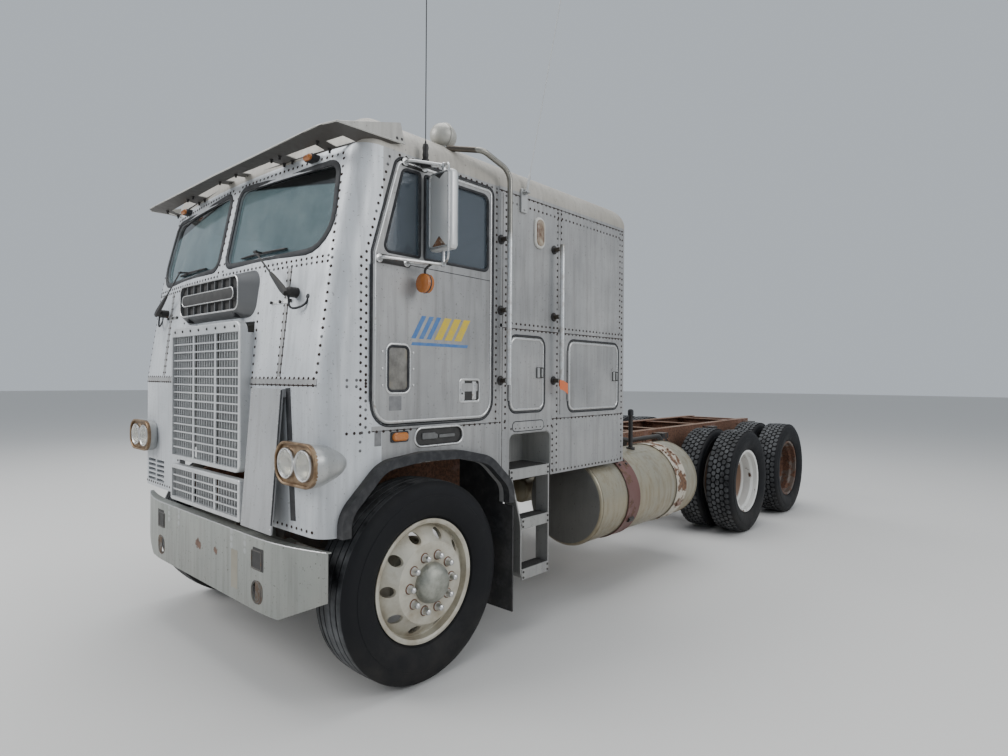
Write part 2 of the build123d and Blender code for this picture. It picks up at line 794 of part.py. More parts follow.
# Boarding ladders: a step well let into the cab's skirt and two treads hung below it on side plates
ladder_bottom = 398
ladder_outer_x = cab_half_width - 4
ladder_inner_x = 905
ladder_plate = 26
tread_heights = (1030, 714, 418)
tread_gauge = 28
well_floor = floor_bottom - 10
with BuildPart() as ladders:
    ladder_front_aft = step_front_aft + well_gauge
    ladder_rear_aft = step_rear_aft - well_gauge
    ladder_middle = aft((ladder_front_aft + ladder_rear_aft) / 2)
    ladder_length = ladder_rear_aft - ladder_front_aft
    for side in (1, -1):
        depth = ladder_outer_x - ladder_inner_x
        middle_x = side * (ladder_outer_x + ladder_inner_x) / 2
        for edge_aft in (ladder_front_aft + ladder_plate / 2, ladder_rear_aft - ladder_plate / 2):
            with Locations((middle_x, aft(edge_aft), (ladder_bottom + floor_top) / 2)):
                Box(depth, ladder_plate, floor_top - ladder_bottom)
        for tread_height in tread_heights:
            with Locations((middle_x, ladder_middle, tread_height)):
                Box(depth, ladder_length, tread_gauge)
        well_outer = side_inner - seat
        well_middle = side * (well_outer - step_well_depth / 2)
        well_height = step_points[2][1] - well_floor
        with Locations((well_middle, ladder_middle, well_floor + well_height / 2)):
            Box(step_well_depth, ladder_length + 2 * well_gauge, well_height)
        with Locations((well_middle + side * well_gauge, ladder_middle, well_floor + well_height / 2 - well_gauge)):
            Box(step_well_depth, ladder_length, well_height, mode=Mode.SUBTRACT)
        for edge_aft in (ladder_front_aft + ladder_plate / 2, ladder_rear_aft - ladder_plate / 2):
            with Locations((middle_x, aft(edge_aft), (well_floor + floor_top) / 2)):
                Box(depth, ladder_plate, floor_top - well_floor)
write(ladders, "ladders")

# Grab rails: two bent tubes a side, on round standoffs
grab_radius = 16
grab_stand_x = cab_half_width + 68
grab_front_aft = 560
grab_back_aft = 1076
with BuildPart() as grab_rails:
    for side in (1, -1):
        grab_x = side * grab_stand_x
        with BuildLine() as path:
            FilletPolyline(
                (side * 1085, aft(170), 2866),
                (grab_x, aft(330), 2868),
                (grab_x, aft(grab_front_aft), 2806),
                (grab_x, aft(grab_front_aft), 1560),
                radius=90,
            )
        with BuildSketch(Plane(origin=path.line @ 0, z_dir=path.line % 0)):
            Circle(grab_radius)
        sweep(path=path.line)
        with BuildSketch(Plane.XY.offset(1560)):
            with Locations((grab_x, aft(grab_back_aft))):
                Circle(grab_radius)
        extrude(amount=2466 - 1560)
        for grab_aft, heights in ((grab_front_aft, (1584, 2000, 2420)), (grab_back_aft, (1584, 2000, 2440))):
            for height in heights:
                with BuildSketch(Plane.YZ.offset(side * side_clear)):
                    with Locations((aft(grab_aft), height)):
                        Circle(grab_radius - 2)
                extrude(amount=side * (grab_stand_x - side_clear))
    add(roof_clear, mode=Mode.SUBTRACT)
write(grab_rails, "grab_rails")

# Roof fittings: the dome horns on their feet and the second whip aerial on the cab's side
roof_whip_aft = 757
roof_whip_top = 4200
with BuildPart() as roof_fittings:
    for side in (1, -1):
        with BuildSketch(Plane.XY.offset(roof_top - 60)):
            with Locations((side * 1030, aft(195))):
                Circle(34)
        extrude(amount=90)
        with Locations((side * 1030, aft(195), roof_top + 55)):
            Sphere(76)
    add(roof_clear, mode=Mode.SUBTRACT)
    with BuildSketch(Plane.YZ.offset(side_clear)):
        with Locations((aft(roof_whip_aft), 2690)):
            RectangleRounded(60, 146, 10)
    extrude(amount=14)
    with Locations((side_clear + 24, aft(roof_whip_aft), 2740)):
        Box(48, 40, 10)
    whip_start = Vector(side_clear + 30, aft(roof_whip_aft), 2740)
    lean = tan(radians(14))
    whip_end = whip_start + Vector(0, lean * (roof_whip_top - 2740), roof_whip_top - 2740)
    with BuildSketch(Plane(origin=whip_start, z_dir=whip_end - whip_start)):
        Circle(10)
    extrude(amount=120)
    with BuildSketch(Plane(origin=whip_start, z_dir=whip_end - whip_start)):
        Circle(whip_radius)
    extrude(amount=(whip_end - whip_start).length)
write(roof_fittings, "roof_fittings")

# Wipers: a pivot boss, an arm and a blade for each screen
with BuildPart() as wipers:
    for side in (1, -1):
        with BuildSketch(Plane.XZ.offset(-aft(-650))):
            with Locations((side * 832, 2010)):
                Circle(26)
        extrude(amount=-100)
        with BuildSketch(Plane.XZ.offset(-aft(-640))):
            with BuildLine():
                Polyline(
                    (side * 824, 2002),
                    (side * 838, 2016),
                    (side * 556, 2248),
                    (side * 540, 2240),
                    close=True,
                )
            make_face()
        extrude(amount=-8)
        with Locations((side * 460, aft(-634), 2246)):
            Box(440, 12, 14)
    add(nose_clear, mode=Mode.SUBTRACT)
write(wipers, "wipers")

# Two suspension seats and the sleeper bunk behind them
seat_x = 760
with BuildPart() as seats:
    for side in (1, -1):
        with Locations((side * seat_x, aft(330), floor_top + seat + 110)):
            Box(330, 330, 220)
        with BuildSketch(Plane.YZ.offset(side * seat_x - 245)):
            with BuildLine():
                FilletPolyline(
                    (aft(90), floor_top + 220),
                    (aft(600), floor_top + 220),
                    (aft(760), floor_top + 1010),
                    (aft(640), floor_top + 1010),
                    (aft(520), floor_top + 400),
                    (aft(90), floor_top + 370),
                    radius=[40, 60, 50, 50, 60, 50],
                    close=True,
                )
            make_face()
        extrude(amount=490)
    bunk_length = cab_rear_aft - cab_wall - seat - 1080
    with Locations((0, aft(1080 + bunk_length / 2), 1950)):
        Box(2 * (side_inner - seat), bunk_length, 170)
write(seats, "seats_and_bunk")

# Dashboard across the cab with the steering column and wheel
wheel_centre = (seat_x, -150, 2030)
with BuildPart() as dashboard:
    with BuildSketch(Plane.YZ.offset(-(side_inner - 12))):
        with BuildLine():
            FilletPolyline(
                (aft(-500), front_box_top + seat),
                (aft(-180), front_box_top + seat),
                (aft(-200), 2110),
                (aft(-280), 2165),
                (aft(-500), 2165),
                radius=[0, 30, 40, 40, 0],
                close=True,
            )
        make_face()
    extrude(amount=2 * (side_inner - 12))
    add(cab_form(cab_wall + 6, 20), mode=Mode.INTERSECT)
    hub = Vector(wheel_centre[0], aft(wheel_centre[1]), wheel_centre[2])
    column = Vector(0, 0.55, 0.83).normalized()
    rim_plane = Plane(origin=hub, z_dir=column)
    with BuildSketch(Plane(origin=hub - column * 330, z_dir=column)):
        Circle(28)
    extrude(amount=335)
    with Locations(rim_plane):
        Torus(228, 14)
    with BuildSketch(rim_plane.offset(-8)):
        Circle(46)
        with PolarLocations(0, 3, start_angle=90):
            with Locations((115, 0)):
                Rectangle(230, 26)
    extrude(amount=14)
write(dashboard, "dashboard")

# Frame rails: two channels with their flanges turned in, carrying the cab's pivot arms in front
saddle_holes_aft = (drive_axle_1_aft + drive_axle_2_aft) / 2
saddle_spacing = 400
saddle_rise = 130
saddle_hole_radius = 8.75
pivot_clearance = 0.05
rail_middle = (rail_top + rail_bottom) / 2
with BuildPart() as frame_rails:
    rail_length = frame_end_aft - rail_front_aft
    for side in (1, -1):
        with BuildSketch(Plane.XZ.offset(-aft(rail_front_aft))):
            with Locations((side * (rail_outer_x - rail_flange / 2), rail_middle)):
                Rectangle(rail_flange, rail_height)
            with Locations((side * (rail_outer_x - rail_flange / 2 - rail_gauge), rail_middle)):
                Rectangle(rail_flange, rail_height - 2 * rail_gauge, mode=Mode.SUBTRACT)
        extrude(amount=-rail_length)
        with BuildSketch(Plane.YZ.offset(side * pivot_arm_x - pivot_arm_gauge / 2)):
            with BuildLine():
                Polyline(
                    (aft(pivot_aft), pivot_height - 30),
                    (aft(rail_front_aft + 120), rail_middle - 40),
                    (aft(rail_front_aft + 120), rail_top - rail_gauge),
                    (aft(rail_front_aft), rail_top - rail_gauge),
                    (aft(pivot_aft), pivot_height + 30),
                    close=True,
                )
            make_face()
            with Locations((aft(pivot_aft), pivot_height)):
                Circle(32)
                Circle(pivot_pin_radius + pivot_clearance, mode=Mode.SUBTRACT)
        extrude(amount=pivot_arm_gauge)
        with BuildSketch(Plane.YZ.offset(side * rail_outer_x)):
            with Locations((aft(saddle_holes_aft), rail_middle)):
                with GridLocations(saddle_spacing, saddle_rise, 2, 2):
                    Circle(saddle_hole_radius)
        extrude(amount=-side * 2 * rail_gauge, mode=Mode.SUBTRACT)
write(frame_rails, "frame_rails")

# Crossmembers: channels between the rails' webs
crossmember_depth = 90
crossmember_gauge = 8
cab_rest_aft = 1640
cab_rest_width = 120
cab_rest_reach = 560
crossmember_aft = (-280, 1850, 2700, 3560, 4040, 5050, 6060, frame_end_aft - 60)
web_inner = rail_outer_x - rail_gauge
with BuildPart() as crossmembers:
    height = rail_height - 2 * rail_gauge - 2 * seat
    width = 2 * (web_inner - seat)
    for member_aft in crossmember_aft:
        with Locations((0, aft(member_aft), rail_middle)):
            Box(width, crossmember_depth, height)
        with Locations((0, aft(member_aft) - crossmember_gauge, rail_middle)):
            Box(width, crossmember_depth, height - 2 * crossmember_gauge, mode=Mode.SUBTRACT)
    rest_low = rail_middle
    rest_high = floor_bottom - seat
    for side in (1, -1):
        with BuildSketch(Plane.XZ.offset(-aft(cab_rest_aft))):
            with BuildLine():
                Polyline(
                    (side * (rail_outer_x + seat), rest_low),
                    (side * (rail_outer_x + seat + 14), rest_low),
                    (side * cab_rest_reach, rest_high - 60),
                    (side * cab_rest_reach, rest_high),
                    (side * (bore_half + 4), rest_high),
                    (side * (rail_outer_x + seat), rail_top - 20),
                    close=True,
                )
            make_face()
        extrude(amount=-cab_rest_width)
write(crossmembers, "crossmembers")

# Bumper: a pressed channel, flat between the frame and swept back at the ends
bumper_bottom = 430
bumper_top = 795
bumper_flat = 640
bumper_half_width = 1122
bumper_sweep = 95
bumper_bow = 0.27
bumper_taper = 34
bumper_lip = 56
bumper_gauge = 6
bumper_bracket_x = 355
tow_hole_x = 632


def bumper_band(near, far, low, high):
    """Band of the bumper's plan between two distances behind its front line; the back line
    sweeps less, so that the lips narrow towards the ends and clear the steered tyres."""
    front = aft(-bumper_overhang)
    sweeps = {near: bumper_sweep, far: bumper_sweep - bumper_taper}
    with BuildPart() as band:
        with BuildSketch(Plane.XY.offset(low)):
            with BuildLine():
                bend = (bumper_flat + bumper_half_width) / 2
                for distance, sweep in sweeps.items():
                    level = front + distance
                    for side in (1, -1):
                        ThreePointArc(
                            (side * bumper_flat, level),
                            (side * bend, level + sweep * bumper_bow),
                            (side * bumper_half_width, level + sweep),
                        )
                    Line((bumper_flat, level), (-bumper_flat, level))
                for side in (1, -1):
                    Line(
                        (side * bumper_half_width, front + near + sweeps[near]),
                        (side * bumper_half_width, front + far + sweeps[far]),
                    )
            make_face()
        extrude(amount=high - low)
    return band.part


with BuildPart() as bumper:
    add(bumper_band(0, bumper_lip, bumper_bottom, bumper_top))
    inside = bumper_band(bumper_gauge, bumper_lip + 1, bumper_bottom + bumper_gauge, bumper_top - bumper_gauge)
    add(inside, mode=Mode.SUBTRACT)
    front_plane = Plane.XZ.offset(-aft(-bumper_overhang) + 50)
    with BuildSketch(front_plane):
        for side in (1, -1):
            with BuildLine():
                Polyline(
                    (side * 800, bumper_bottom - 10),
                    (side * 1130, 566),
                    (side * 1130, bumper_bottom - 10),
                    close=True,
                )
            make_face()
            with Locations((side * tow_hole_x, 684)):
                RectangleRounded(92, 84, 8)
            with Locations((side * tow_hole_x, 524)):
                SlotOverall(104, 84, rotation=90)
    extrude(amount=-300, mode=Mode.SUBTRACT)
    for side in (1, -1):
        bracket_front = aft(-bumper_overhang) + bumper_gauge
        bracket_back = aft(rail_front_aft + 150)
        with Locations((side * bumper_bracket_x, (bracket_front + bracket_back) / 2, rail_bottom - seat - 70)):
            Box(20, bracket_back - bracket_front, 140)
write(bumper, "bumper")

# Engine and gearbox: one plain block on four feet on the rails
engine_front_aft = -190
engine_rear_aft = 1020
engine_half_width = 316
engine_bottom = 600
engine_top = 1500
gearbox_rear_aft = 1740
with BuildPart() as engine:
    with Locations((0, aft((engine_front_aft + engine_rear_aft) / 2), (engine_bottom + engine_top) / 2)):
        Box(2 * engine_half_width, engine_rear_aft - engine_front_aft, engine_top - engine_bottom)
    with Locations((0, aft((engine_rear_aft + gearbox_rear_aft) / 2), 820)):
        Box(400, gearbox_rear_aft - engine_rear_aft, 400)
    with GridLocations(2 * 375, 820, 2, 2):
        with Locations((0, aft((engine_front_aft + engine_rear_aft) / 2), rail_top + seat + 15)):
            Box(120, 90, 30)
write(engine, "engine")

# Radiator: a framed core on the rails behind the grille
radiator_aft = -372
radiator_depth = 90
radiator_top = 1600
radiator_half_width = 400
with BuildPart() as radiator:
    radiator_height = radiator_top - rail_top - seat
    with Locations((0, aft(radiator_aft), radiator_top - radiator_height / 2)):
        Box(2 * radiator_half_width, radiator_depth, radiator_height)
    with Locations((0, aft(radiator_aft) - radiator_depth / 2, radiator_top - radiator_height / 2)):
        Box(2 * radiator_half_width - 80, 24, radiator_height - 120, mode=Mode.SUBTRACT)
write(radiator, "radiator")

# Front axle: a dropped beam with kingpin eyes, under two leaf springs
kingpin_x = 880
kingpin_radius = 22
kingpin_clearance = 0.05
eye_radius = 46
eye_bottom = axle_height - 55
eye_top = axle_height + 55
beam_top = 520
beam_bottom = 420
front_spring_x = 420
spring_width = 89
front_spring_ends = (-400, 520)
with BuildPart() as front_axle:
    with BuildSketch(Plane.XZ.offset(-aft(0) + 50)):
        with BuildLine():
            Polyline(
                (-kingpin_x, eye_bottom + 8),
                (-700, eye_bottom),
                (-560, beam_bottom),
                (560, beam_bottom),
                (700, eye_bottom),
                (kingpin_x, eye_bottom + 8),
                (kingpin_x, eye_top - 8),
                (700, eye_top),
                (560, beam_top),
                (-560, beam_top),
                (-700, eye_top),
                (-kingpin_x, eye_top - 8),
                close=True,
            )
        make_face()
    extrude(amount=-100)
    for side in (1, -1):
        with Locations((0, aft(0) + side * 50, (beam_top + beam_bottom) / 2)):
            Box(1080, 60, beam_top - beam_bottom - 36, mode=Mode.SUBTRACT)
        with BuildSketch(Plane.XY.offset(eye_bottom)):
            with Locations((side * kingpin_x, aft(0))):
                Circle(eye_radius)
        extrude(amount=eye_top - eye_bottom)
        with BuildSketch(Plane.XY.offset(eye_bottom)):
            with Locations((side * kingpin_x, aft(0))):
                Circle(kingpin_radius + kingpin_clearance)
        extrude(amount=eye_top - eye_bottom, mode=Mode.SUBTRACT)
        front_end, rear_end = front_spring_ends
        with BuildSketch(Plane.YZ.offset(side * front_spring_x - spring_width / 2)):
            with BuildLine():
                upper = ThreePointArc((aft(front_end), 752), (aft(30), 640), (aft(rear_end), 752))
                lower = ThreePointArc((aft(front_end), 712), (aft(30), 576), (aft(rear_end), 712))
                Line(upper @ 0, lower @ 0)
                Line(upper @ 1, lower @ 1)
            make_face()
        extrude(amount=spring_width)
        with Locations((side * front_spring_x, aft(0), (beam_top + 600) / 2 - 10)):
            Box(spring_width + 30, 150, 600 - beam_top + 20)
        for end in front_spring_ends:
            with Locations((side * front_spring_x, aft(end), (712 + rail_bottom - seat) / 2)):
                Box(spring_width, 80, rail_bottom - seat - 712)
write(front_axle, "front_axle")

# Steering knuckles: a yoke on the kingpin, the wheel spindle and the arm to the track rod
spindle_radius = 35
spindle_end_x = 1150
yoke_gap = 0.5
yoke_gauge = 27
arm_end_x = kingpin_x
arm_end_aft = 200
ball_pin_radius = 10
track_rod_radius = 17
track_rod_height = 410
for side, side_name in ((1, "left"), (-1, "right")):
    with BuildPart() as knuckle:
        with BuildSketch(Plane.XY.offset(eye_bottom - yoke_gap - yoke_gauge)):
            with Locations((side * kingpin_x, aft(0))):
                Circle(kingpin_radius)
        extrude(amount=eye_top - eye_bottom + 2 * yoke_gap + 2 * yoke_gauge)
        for low in (eye_bottom - yoke_gap - yoke_gauge, eye_top + yoke_gap):
            with BuildSketch(Plane.XY.offset(low)):
                with Locations((side * kingpin_x, aft(0))):
                    Circle(40)
                with Locations((side * (kingpin_x + 38), aft(0))):
                    Rectangle(76, 80)
            extrude(amount=yoke_gauge)
        with Locations((side * (kingpin_x + 66), aft(0), axle_height)):
            Box(20, 110, eye_top - eye_bottom + 2 * yoke_gap + 2 * yoke_gauge)
        with BuildSketch(Plane.YZ.offset(side * (kingpin_x + 70))):
            with Locations((aft(0), axle_height)):
                Circle(spindle_radius)
        extrude(amount=side * (spindle_end_x - kingpin_x - 70))
        with BuildSketch(Plane.XY.offset(eye_bottom - yoke_gap - yoke_gauge)):
            with BuildLine():
                Polyline(
                    (side * (kingpin_x + 34), aft(20)),
                    (side * (kingpin_x - 34), aft(20)),
                    (side * (arm_end_x - 20), aft(arm_end_aft)),
                    (side * (arm_end_x + 20), aft(arm_end_aft)),
                    close=True,
                )
            make_face()
            with Locations((side * arm_end_x, aft(arm_end_aft))):
                Circle(24)
        extrude(amount=20)
        with BuildSketch(Plane.XY.offset(eye_bottom - 60)):
            with Locations((side * arm_end_x, aft(arm_end_aft))):
                Circle(ball_pin_radius + kingpin_clearance)
        extrude(amount=100, mode=Mode.SUBTRACT)
    write(knuckle, "knuckle_" + side_name)

# Track rod between the steering arms
with BuildPart() as track_rod:
    with BuildSketch(Plane.YZ.offset(-arm_end_x)):
        with Locations((aft(arm_end_aft), track_rod_height)):
            Circle(track_rod_radius)
    extrude(amount=2 * arm_end_x)
    for side in (1, -1):
        with BuildSketch(Plane.XY.offset(track_rod_height - 22)):
            with Locations((side * arm_end_x, aft(arm_end_aft))):
                Circle(24)
        extrude(amount=44 - 8)
        with BuildSketch(Plane.XY.offset(track_rod_height)):
            with Locations((side * arm_end_x, aft(arm_end_aft))):
                Circle(ball_pin_radius)
        extrude(amount=eye_bottom - yoke_gap - yoke_gauge + 20 - track_rod_height)
write(track_rod, "track_rod")


# Tyres and wheels are turned about the axle line. Columns: offset out from the tyre's middle, radius
rim_half = rim_width / 2
bead_half = rim_half - 11
well_radius = bead_radius - 19
tyre_half = tyre_width / 2
tyre_flank = [
    (bead_half - 0.5, bead_radius + seat), (bead_half + 2, rim_flange_radius + 3),
    (tyre_half - 23.5, rim_flange_radius + 21), (tyre_half, tyre_radius - 105),
    (tyre_half - 11.5, tyre_radius - 35), (tyre_half - 31.5, tyre_radius - 9), (60, tyre_radius),
]
tyre_section = [(-u, r) for u, r in tyre_flank] + [(u, r) for u, r in reversed(tyre_flank)]
rim_section = [
    (-rim_half, rim_flange_radius), (-rim_half + 8, rim_flange_radius), (-bead_half, bead_radius),
    (-60, bead_radius - 2), (-40, well_radius), (30, well_radius), (60, bead_radius - 2),
    (bead_half, bead_radius), (rim_half - 8, rim_flange_radius), (rim_half, rim_flange_radius),
    (rim_half, bead_radius + 1), (rim_half - 5, bead_radius - 11), (60, well_radius + 4),
    (36, well_radius - 12), (-46, well_radius - 12), (-66, well_radius + 4), (-rim_half, bead_radius - 3),
]


def turned(centre_x, wheel_aft, side, sections):
    """Solid turned about the axle line, for each centre offset and closed section given."""
    with BuildPart() as piece:
        for centre, section in sections:
            with BuildSketch(Plane.XZ.offset(-aft(wheel_aft))):
                with BuildLine():
                    corners = [(side * (centre_x + centre + u), axle_height + r) for u, r in section]
                    Polyline(*corners, close=True)
                make_face()
            revolve(axis=Axis((0, aft(wheel_aft), axle_height), (1, 0, 0)))
    return piece.part


front_disc_offset = 140
front_hub_section = [
    (-62, 0), (-62, 205), (20, 205), (60, 205), (74, 120), (front_disc_offset - 20, 120),
    (front_disc_offset - 10, 205), (40, 286), (44, 294), (52, 294), (front_disc_offset + 2, 212),
    (front_disc_offset + 2, 92), (front_disc_offset + 34, 88), (front_disc_offset + 60, 60),
    (front_disc_offset + 68, 20), (front_disc_offset + 68, 0),
]
drive_hub_section = [
    (-300, 0), (-300, 110), (-450, 110), (-450, 205), (-240, 205), (-220, 150), (-172, 150), (-160, 215),
    (-42, 286), (-30, 286), (-146, 208), (-156, 110), (-60, 105), (-50, 60), (-50, 0),
]
for side, side_name in ((1, "left"), (-1, "right")):
    with BuildPart() as tyre:
        add(turned(front_track_half, 0, side, [(0, tyre_section)]))
    write(tyre, "tyre_front_" + side_name)
    with BuildPart() as wheel:
        add(turned(front_track_half, 0, side, [(0, rim_section), (0, front_hub_section)]))
        with BuildSketch(Plane.YZ.offset(side * (front_track_half - 100))):
            with Locations((aft(0), axle_height)):
                Circle(spindle_radius + kingpin_clearance)
        extrude(amount=side * (spindle_end_x + 5 - front_track_half + 100), mode=Mode.SUBTRACT)
        with BuildSketch(Plane.YZ.offset(side * (front_track_half + 20))):
            with Locations((aft(0), axle_height)):
                with PolarLocations(248, hand_holes):
                    Circle(28)
        extrude(amount=side * 140, mode=Mode.SUBTRACT)
    write(wheel, "wheel_front_" + side_name)
    for axle_number, wheel_aft in ((1, drive_axle_1_aft), (2, drive_axle_2_aft)):
        suffix = str(axle_number) + "_" + side_name
        spacing = dual_inner_x - dual_outer_x
        with BuildPart() as tyres:
            add(turned(dual_outer_x, wheel_aft, side, [(0, tyre_section), (spacing, tyre_section)]))
        write(tyres, "tyres_drive_" + suffix)
        with BuildPart() as wheels:
            add(turned(dual_outer_x, wheel_aft, side, [(0, rim_section), (spacing, rim_section)]))
            add(turned(dual_outer_x, wheel_aft, side, [(0, drive_hub_section)]))
            inner_disc = [(-172, 100), (-172, 215), (-300, 286), (-290, 290), (-160, 215), (-160, 100)]
            add(turned(dual_outer_x, wheel_aft, side, [(0, inner_disc)]))
            with BuildSketch(Plane.YZ.offset(side * (dual_outer_x - 460))):
                with Locations((aft(wheel_aft), axle_height)):
                    Circle(drive_spindle_radius + kingpin_clearance)
            extrude(amount=side * (drive_spindle_end_x + 5 - dual_outer_x + 460), mode=Mode.SUBTRACT)
        write(wheels, "wheels_drive_" + suffix)

# Drive axles: banjo housings with their shafts and the propeller shafts between them
housing_radius = 72
with BuildPart() as drive_axles:
    for axle_aft in (drive_axle_1_aft, drive_axle_2_aft):
        with BuildSketch(Plane.YZ.offset(-605)):
            with Locations((aft(axle_aft), axle_height)):
                Circle(housing_radius)
        extrude(amount=1210)
        with BuildSketch(Plane.YZ.offset(-drive_spindle_end_x)):
            with Locations((aft(axle_aft), axle_height)):
                Circle(drive_spindle_radius)
        extrude(amount=2 * drive_spindle_end_x)
        with BuildSketch(Plane.XZ.offset(-aft(axle_aft) - 150)):
            with Locations((0, axle_height)):
                Circle(120)
        with BuildSketch(Plane.XZ.offset(-aft(axle_aft))):
            with Locations((0, axle_height)):
                Circle(205)
        with BuildSketch(Plane.XZ.offset(-aft(axle_aft) + 330)):
            with Locations((0, axle_height)):
                Circle(85)
        loft(ruled=True)
    for start, start_height, end, end_height in (
        (gearbox_rear_aft + 12, 720, drive_axle_1_aft - 320, axle_height),
        (drive_axle_1_aft + 140, axle_height, drive_axle_2_aft - 320, axle_height),
    ):
        run = Vector(0, end - start, end_height - start_height)
        with BuildSketch(Plane(origin=(0, aft(start), start_height), z_dir=run)):
            Circle(52)
        extrude(amount=run.length)
write(drive_axles, "drive_axles")

# Rear suspension: a leaf pack over each axle between hangers on the rails
rear_spring_x = 510
rear_spring_width = 76
spring_half_length = 620
hanger_aft = (drive_axle_1_aft - 600, saddle_holes_aft, drive_axle_2_aft + 600)
with BuildPart() as rear_suspension:
    for side in (1, -1):
        for axle_aft in (drive_axle_1_aft, drive_axle_2_aft):
            with BuildSketch(Plane.YZ.offset(side * rear_spring_x - rear_spring_width / 2)):
                with BuildLine():
                    start = aft(axle_aft - spring_half_length)
                    middle = aft(axle_aft)
                    stop = aft(axle_aft + spring_half_length)
                    upper = ThreePointArc((start, 752), (middle, 706), (stop, 752))
                    lower = ThreePointArc((start, 712), (middle, 630), (stop, 712))
                    Line(upper @ 0, lower @ 0)
                    Line(upper @ 1, lower @ 1)
                make_face()
            extrude(amount=rear_spring_width)
            with Locations((side * rear_spring_x, aft(axle_aft), (axle_height + housing_radius + seat + 640) / 2)):
                Box(rear_spring_width + 24, 130, 640 - axle_height - housing_radius - seat)
        for place in hanger_aft:
            inner = rail_outer_x + seat
            outer = rear_spring_x + rear_spring_width / 2 + 8
            with Locations((side * (inner + outer) / 2, aft(place), 860)):
                Box(outer - inner, 130, 340)
write(rear_suspension, "rear_suspension")

# Fuel tanks under the cab's rear, and the air tanks between the rails
fuel_tank_radius = 330
fuel_tank_x = 885
fuel_tank_height = 690
fuel_tank_front_aft = 1560
fuel_tank_rear_aft = 3120
air_tank_radius = 105
air_tank_x = 240
with BuildPart() as tanks:
    for side in (1, -1):
        with BuildSketch(Plane.XZ.offset(-aft(fuel_tank_front_aft))):
            with Locations((side * fuel_tank_x, fuel_tank_height)):
                Circle(fuel_tank_radius)
        extrude(amount=-(fuel_tank_rear_aft - fuel_tank_front_aft))
        with BuildSketch(Plane.XZ.offset(-aft(crossmember_aft[1] - 60))):
            with Locations((side * air_tank_x, rail_bottom - 30 - air_tank_radius)):
                Circle(air_tank_radius)
        extrude(amount=-(crossmember_aft[2] - crossmember_aft[1] + 120))
    tank_ends = tanks.faces().filter_by(Axis.Y).edges()
    fillet(tank_ends, 22)
write(tanks, "tanks")

strap_aft = (2050, 2800)
strap_width = 72
strap_gauge = 6
strap_bracket_x = 660
stack_aft = 2400
stack_x = 950
stack_radius = 18
stack_top = 1340
hose_radius = 21
hose_points = [
    (600, strap_aft[0], 1000),
    (600, 2120, 1150),
    (700, 2400, 1104),
    (800, 2640, 1052),
    (800, 3170, 1058),
    (800, 3380, 890),
]
with BuildPart() as tank_fittings:
    for side in (1, -1):
        for place in strap_aft:
            with BuildSketch(Plane.XZ.offset(-aft(place - strap_width / 2))):
                with Locations((side * fuel_tank_x, fuel_tank_height)):
                    Circle(fuel_tank_radius + seat + strap_gauge)
                inner = rail_outer_x + seat
                with Locations((side * (inner + strap_bracket_x) / 2, 900)):
                    Rectangle(strap_bracket_x - inner, 280)
                with Locations((side * fuel_tank_x, fuel_tank_height)):
                    Circle(fuel_tank_radius + seat, mode=Mode.SUBTRACT)
            extrude(amount=-strap_width)
        for place in (crossmember_aft[1], crossmember_aft[2]):
            saddle_low = rail_bottom - 30 - air_tank_radius
            saddle_high = rail_bottom + rail_gauge + seat
            with BuildSketch(Plane.XZ.offset(-aft(place - 30))):
                with Locations((side * air_tank_x, (saddle_low + saddle_high) / 2)):
                    Rectangle(90, saddle_high - saddle_low)
                with Locations((side * air_tank_x, saddle_low)):
                    Circle(air_tank_radius + seat, mode=Mode.SUBTRACT)
            extrude(amount=-60)
    with BuildLine() as hose_path:
        FilletPolyline(*[(x, aft(y), z) for x, y, z in hose_points], radius=60)
    with BuildSketch(Plane(origin=hose_path.line @ 0, z_dir=hose_path.line % 0)):
        Circle(hose_radius)
    sweep(path=hose_path.line)
    with Locations((stack_x, aft(stack_aft), fuel_tank_height)):
        Cylinder(stack_radius, stack_top - fuel_tank_height, align=(Align.CENTER, Align.CENTER, Align.MIN))
        Cylinder(2 * stack_radius, fuel_tank_radius + 6, align=(Align.CENTER, Align.CENTER, Align.MIN))
    with BuildSketch(Plane.XZ.offset(-aft(stack_aft - 3 * stack_radius))):
        with Locations((fuel_tank_x, fuel_tank_height)):
            Circle(fuel_tank_radius + seat)
    extrude(amount=-6 * stack_radius, mode=Mode.SUBTRACT)
write(tank_fittings, "tank_fittings")

# Rear lamps on the last crossmember
with BuildPart() as rear_lamps:
    for side in (1, -1):
        for lamp_x in (180, 320):
            with BuildSketch(Plane.XZ.offset(-aft(frame_end_aft - 60 + crossmember_depth / 2) - seat)):
                with Locations((side * lamp_x, rail_middle)):
                    Circle(55)
            extrude(amount=-14)
write(rear_lamps, "rear_lamps")
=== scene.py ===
import json
from math import atan2, cos, pi, radians, sin, tan, tau

import bmesh
import bpy
from mathutils import Matrix, Vector, noise
from mathutils.bvhtree import BVHTree


